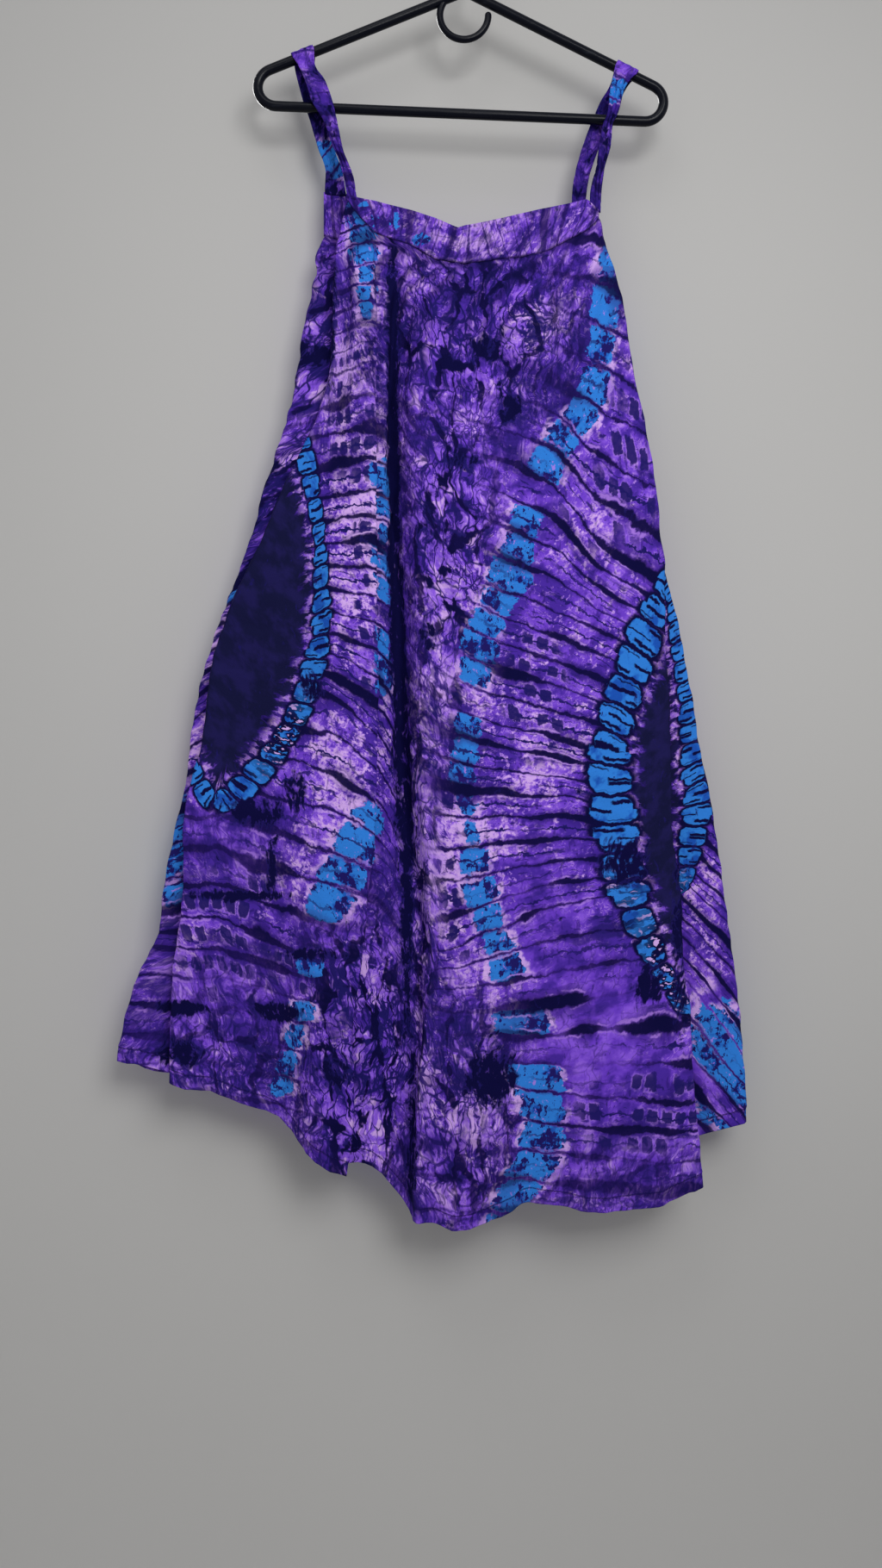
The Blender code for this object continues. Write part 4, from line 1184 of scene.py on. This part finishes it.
strip = band_points(BACK_BAND, SEAM_OVERLAP)[::-1]
strip = raised(strip, band_relief(strip, 23.0))
back_band = cloth_piece("back_band_cloth", strip, BAND_WALL, cotton, band_chart(strip, 0.15, ()))

for made, node, flat in ((front_band, "front_band", (0.26, 0.045)),
                         (back_band, "back_band", (0.28, 0.05))):
    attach(made, "root")
    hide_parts(node)


# --------------------------------------------------------------------- straps
# Two flat straps of doubled cotton, bunched where they meet the bands.  Each
# lies over an arm of the hanger and runs down to the front and the back band.

STRAP_WIDTH = 23.0
STRAP_SEATS = {"left": -165.8, "right": 158.0}
STRAP_RUNS = {
    "left": {
        "front": (
            (-158, -174, -155, -7.0), (-181, -163, -143, -8.5),
            (-198, -158, -137, -9), (-220, -145, -132, -9), (-245, -136, -127, -10),
            (-262, -129, -121, -11), (-280, -124, -115, -13), (-295, -121, -112, -14)),
        "back": (
            (-158, -176, -156, 7.0), (-190, -168, -148, 8), (-207, -162, -142, 8.5),
            (-240, -152, -136, 9), (-262, -145, -128, 10.5), (-281, -146, -124, 12.5)),
    },
    "right": {
        "front": (
            (-173, 145, 166, -7.0), (-187, 142, 156, -8.5), (-212, 139, 149, -9),
            (-222, 135, 144, -9), (-243, 131, 142, -9.5), (-266, 128, 136, -10),
            (-285, 123, 133, -11), (-299, 120, 131, -12)),
        "back": (
            (-172, 145, 166, 7.0), (-196, 132, 151, 8), (-218, 123, 142, 8.5),
            (-240, 115, 132, 9), (-262, 109, 124, 10), (-281, 106, 120, 12),
            (-294, 105, 119, 14)),
    },
}
STRAP_WALL = 1.1
STRAP_CELL = 2.4
STRAP_FOLDS = {"left": (0.5, 31.0), "right": (0.75, 57.0)}     # fold depth, seed
# Dye down each run of the straps: height, blue, pink, stain and shade.  The dark
# values on the back runs are partly painted shade.
STRAP_DYE = {
    ("left", "front"): ((-158, -9, -0.2, 0.35), (-190, -9, -0.8, 0.55), (-222, -9, -0.7, 0.45),
                        (-245, -9, -0.2, 0.3), (-270, -9, 0.6, 0), (-290, -9, 0.7, 0)),
    ("left", "back"): ((-158, -9, -0.8, 0.7), (-208, -9, -0.8, 0.85), (-222, -1, -0.6, 0.6),
                       (-236, 1, 0, 0.2), (-262, 1.2, 0, 0.1), (-272, -0.5, 0, 0.5),
                       (-281, -9, -0.6, 0.9)),
    ("right", "front"): ((-165, 1.4, 0, 0.35), (-178, 1.6, 0, 0.25), (-196, 1.6, 0, 0.1),
                         (-204, -0.3, -0.4, 0.4), (-216, -9, -0.5, 0.6), (-299, -9, -0.2, 0.4)),
    ("right", "back"): ((-170, -9, -0.6, 0.6), (-205, -9, -0.7, 0.6), (-240, -9, -0.2, 0.3),
                        (-294, -9, -0.4, 0.4)),
}
SEAT_GAP = 0.3
HANGER_TUBE = 10.0
HANGER_ARM_SLOPE = 24.3    # degrees below the horizontal
HANGER_TILT = 2.4          # degrees, the right end hangs lower
APEX_BELOW_HOOK = 85.0
STRAP_ROWS = 15            # rows of points across a strap
STRAP_FOLD_STEP = 9.5
BAND_TUCK = 3.0            # how far a strap reaches down inside a band


def arm_axis(across):
    """Point and direction on the centre line of a hanger arm, as it hangs."""
    tilt = math.radians(HANGER_TILT)
    slope = tilt + math.copysign(math.radians(HANGER_ARM_SLOPE), across)
    apex = (-APEX_BELOW_HOOK * math.sin(tilt), -APEX_BELOW_HOOK * math.cos(tilt))
    height = apex[1] - (across - apex[0]) * math.tan(slope)
    return np.array([across, 0.0, height]), np.array([math.cos(slope), 0.0, -math.sin(slope)])


def strap_edges(side):
    """Left and right edge of a strap, from the front band over the arm to the
    back band, at even steps."""
    runs = {run: [((low, depth, height), (high, depth, height)) for height, low, high, depth in rows]
            for run, rows in STRAP_RUNS[side].items()}
    seat, along = arm_axis(STRAP_SEATS[side])
    radius = HANGER_TUBE / 2 + SEAT_GAP + STRAP_WALL
    half = along * STRAP_WIDTH / 2
    over = []
    for turn in np.linspace(-math.pi / 2, math.pi / 2, 9):
        upward = radius * math.cos(turn) * np.array([-along[2], 0.0, along[0]])
        middle = seat + upward + (0.0, radius * math.sin(turn), 0.0)
        over.append((middle - half, middle + half))
    edges = np.array(runs["front"][::-1] + over + runs["back"], float)

    # Both ends are sewn in just under the upper edge of their band.
    for row, band in ((0, FRONT_BAND), (-1, BACK_BAND)):
        edges[row, :, 1] = read_table(band, 3, edges[row, :, 0])
        edges[row, :, 2] = read_table(band, 1, edges[row, :, 0]) - BAND_TUCK
    gaps = np.linalg.norm(np.diff(edges.mean(axis=1), axis=0), axis=1)
    run = np.concatenate([[0.0], np.cumsum(gaps)])
    fine = np.linspace(0.0, run[-1], round(run[-1] / STRAP_CELL))
    return [np.stack([read_curve(run, edges[:, edge, k], fine) for k in range(3)], axis=1)
            for edge in (0, 1)]


def strap_points(side):
    """A strap as a grid, with the lengthwise folds that bunch it."""
    left, right = strap_edges(side)
    depth, seed = STRAP_FOLDS[side]
    share = np.linspace(0.0, 1.0, STRAP_ROWS)[:, None, None]
    points = left[None] + (right - left)[None] * share
    # The full width is pressed into the space between the edges as soft folds.
    wide = np.linalg.norm(right - left, axis=1)[None, :]
    spare = np.clip(1.0 - wide / STRAP_WIDTH, 0.0, 0.6)
    down = cloth_lengths(points)[1]
    place = np.broadcast_to(share[:, :, 0] * STRAP_WIDTH, down.shape)
    sway = rumple(place * 0.3, down, 9.0, 34.0, seed)
    fold = np.cos(2 * math.pi * (place / STRAP_FOLD_STEP + 1.3 * sway))
    relief = (0.25 + 3.2 * spare * depth) * fold
    relief += 0.5 * rumple(place, down, 7.0, 16.0, seed + 4.0)
    return raised(points, relief)


def strap_chart(side, points):
    """Dye of a strap, read down its two runs; the back runs' darkness is partly painted shade."""
    height = points[:, :, 2]
    in_front = smooth_step(points[:, :, 1], 3.0, -3.0)
    chart = {}
    for column, kind in ((1, "blue"), (2, "pink"), (3, "stain")):
        back_run, front_run = (read_table(STRAP_DYE[side, run][::-1], column, height)
                               for run in ("back", "front"))
        chart[kind] = back_run * (1 - in_front) + front_run * in_front
    return even_chart(points, turns=cloth_lengths(points)[1] / 23.0, crinkle=0.3, plain=0.3,
                      deep=0.9, **chart)


for side in STRAP_SEATS:
    strip = strap_points(side)[::-1]
    strap = cloth_piece(f"strap_{side}_cloth", strip, STRAP_WALL, cotton,
                        strap_chart(side, strip))
    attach(strap, "root")
    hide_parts(f"strap_{side}")


# --------------------------------------------------------------------- hanger
# A one-piece moulded plastic hanger, glossy black: arms and bar of round tube,
# an open ring under the apex and a plain hook.  It hangs slightly aslant.

HANGER_SPAN = 419.0
HANGER_DROP = 123.6        # apex of the arms down to the bar
APEX_ROUNDING = 16.0
HOOK_RADIUS = 23.0
HOOK_TUBE = 9.0
HOOK_TURN = (-42.0, 196.0)     # degrees where the hook's bend starts and ends
HOOK_SWAY = (7.5, -44.5)       # across and height where the neck leans over
NECK_LENGTH = 30.0
NECK_SUNK = 4.0            # how far the neck starts inside the arms
RING_RADIUS = 24.3
RING_TUBE = 7.0
RING_TURN = (140.0, 362.0)     # degrees where the ring starts and ends
TUBE_SIDES = 28
BEND_STEP = 5.0            # degrees between the rings of vertices in a bend
PLASTIC_BLACK = (0.0022, 0.0030, 0.0075)
PLASTIC_SCUFFED = (0.014, 0.017, 0.028)
DUST = (0.20, 0.20, 0.21)


def on_circle(centre, radius, angle):
    """Place at an angle in degrees from +X towards +Z."""
    turn = math.radians(angle)
    return (centre[0] + radius * math.cos(turn), centre[1] + radius * math.sin(turn))


class Tube:
    """A round tube that grows from place in the XZ plane, where it faces an
    angle in degrees."""

    def __init__(self, bm, place, facing, diameter):
        self.bm, self.place, self.facing, self.radius = bm, place, facing, diameter / 2
        turned = Matrix.Rotation(math.radians(90 - facing), 4, "Y")
        made = bmesh.ops.create_circle(bm, segments=TUBE_SIDES, radius=self.radius,
                                       matrix=Matrix.Translation((place[0], 0, place[1])) @ turned)
        self.rim = list(dict.fromkeys(edge for vertex in made["verts"]
                                      for edge in vertex.link_edges))

    def straight(self, place, grow=1.0):
        """Runs on to place, and scales the new rim about its middle."""
        made = bmesh.ops.extrude_edge_only(self.bm, edges=self.rim)["geom"]
        verts = [part for part in made if isinstance(part, bmesh.types.BMVert)]
        bmesh.ops.translate(self.bm, verts=verts,
                            vec=(place[0] - self.place[0], 0.0, place[1] - self.place[1]))
        bmesh.ops.scale(self.bm, verts=verts, vec=(grow, grow, grow),
                        space=Matrix.Translation((-place[0], 0.0, -place[1])))
        self.rim = [part for part in made if isinstance(part, bmesh.types.BMEdge)
                    and all(vertex in verts for vertex in part.verts)]
        self.place = place

    def bend(self, centre, start, end):
        """Runs round centre, anticlockwise from the front, between two angles."""
        made = bmesh.ops.spin(self.bm, geom=self.rim, cent=(centre[0], 0.0, centre[1]),
                              axis=(0.0, -1.0, 0.0), angle=math.radians(end - start),
                              steps=round((end - start) / BEND_STEP), use_duplicate=False)
        self.rim = [part for part in made["geom_last"] if isinstance(part, bmesh.types.BMEdge)]
        self.place = on_circle(centre, math.dist(self.place, centre), end)
        self.facing = end + 90

    def round_tip(self):
        """Closes the tube with a rounded tip."""
        start, last = self.place, 1.0
        for turn in map(math.radians, (25, 45, 65, 80)):
            self.straight(on_circle(start, self.radius * math.sin(turn), self.facing),
                          math.cos(turn) / last)
            last = math.cos(turn)
        bmesh.ops.contextual_create(self.bm, geom=self.rim)


slope = math.radians(HANGER_ARM_SLOPE)
half_span = (HANGER_SPAN - HANGER_TUBE) / 2
end_radius = ((HANGER_DROP - half_span * math.tan(slope))
              / (1 + 1 / math.cos(slope) - math.tan(slope)))
bar_height = -APEX_BELOW_HOOK - HANGER_DROP
end_centre = (half_span - end_radius, bar_height + end_radius)
left_centre = (-end_centre[0], end_centre[1])
apex_centre = (0.0, -APEX_BELOW_HOOK - APEX_ROUNDING / math.cos(slope))
right_turn, left_turn = 90 - HANGER_ARM_SLOPE, 90 + HANGER_ARM_SLOPE

# arms and bar, once round from the bar's right end
hanger_mesh = bmesh.new()
bar_end = (end_centre[0], bar_height)
outline = Tube(hanger_mesh, bar_end, 0.0, HANGER_TUBE)
outline.bend(end_centre, -90, right_turn)
outline.straight(on_circle(apex_centre, APEX_ROUNDING, right_turn))
outline.bend(apex_centre, right_turn, left_turn)
outline.straight(on_circle(left_centre, end_radius, left_turn))
outline.bend(left_centre, left_turn, 270)
outline.straight(bar_end)
bmesh.ops.remove_doubles(hanger_mesh, verts=hanger_mesh.verts, dist=0.01)

# the open ring, which starts inside the left arm
ring_centre = (0.0, -APEX_BELOW_HOOK - RING_RADIUS)
open_ring = Tube(hanger_mesh, on_circle(ring_centre, RING_RADIUS, RING_TURN[0]),
                 RING_TURN[0] + 90, RING_TUBE)
open_ring.bend(ring_centre, *RING_TURN)
open_ring.round_tip()

# the neck and the hook
hook_centre = (0.0, HOOK_TUBE / 2 - HOOK_RADIUS)
neck_foot = (0.0, -APEX_BELOW_HOOK - NECK_SUNK)
hook = Tube(hanger_mesh, neck_foot, 90.0, HOOK_TUBE)
for place in ((0.0, neck_foot[1] + NECK_LENGTH), HOOK_SWAY,
              on_circle(hook_centre, HOOK_RADIUS, HOOK_TURN[0])):
    hook.straight(place)
hook.bend(hook_centre, *HOOK_TURN)
hook.round_tip()

bmesh.ops.recalc_face_normals(hanger_mesh, faces=hanger_mesh.faces)
bmesh.ops.scale(hanger_mesh, verts=hanger_mesh.verts, vec=(MM, MM, MM))
bmesh.ops.rotate(hanger_mesh, verts=hanger_mesh.verts, cent=(0, 0, 0),
                 matrix=Matrix.Rotation(math.radians(HANGER_TILT), 3, "Y"))


def black_plastic():
    """Glossy black plastic with a faint mould texture and fine scuffs."""
    plastic = Recipe("black_plastic", PLASTIC_BLACK)
    place = plastic.add("TexCoord", (), "Object")
    scuff = plastic.grain(plastic.stretched(place, 30.0, 160.0, 160.0), 1.0, 3.0, 0.6)
    dust = plastic.grain(place, 900.0, 1.0)
    plastic.paint(scuff.rise(0.64, 0.80) * 0.5, PLASTIC_SCUFFED)
    plastic.paint(dust.rise(0.74, 0.82) * 0.10, DUST)
    rough = 0.20 + scuff.rise(0.45, 0.8) * 0.20
    return plastic.finish_with(plastic.grain(place, 380.0, 2.0), 0.00006, rough, 0.13)


hanger_shape = bpy.data.meshes.new("hanger_plastic_frame")
hanger_mesh.to_mesh(hanger_shape)
hanger_mesh.free()
hanger_shape.shade_smooth()
hanger_shape.materials.append(black_plastic())
hanger = bpy.data.objects.new("hanger_plastic_frame", hanger_shape)
scene.collection.objects.link(hanger)
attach(hanger, "root")
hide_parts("hanger")
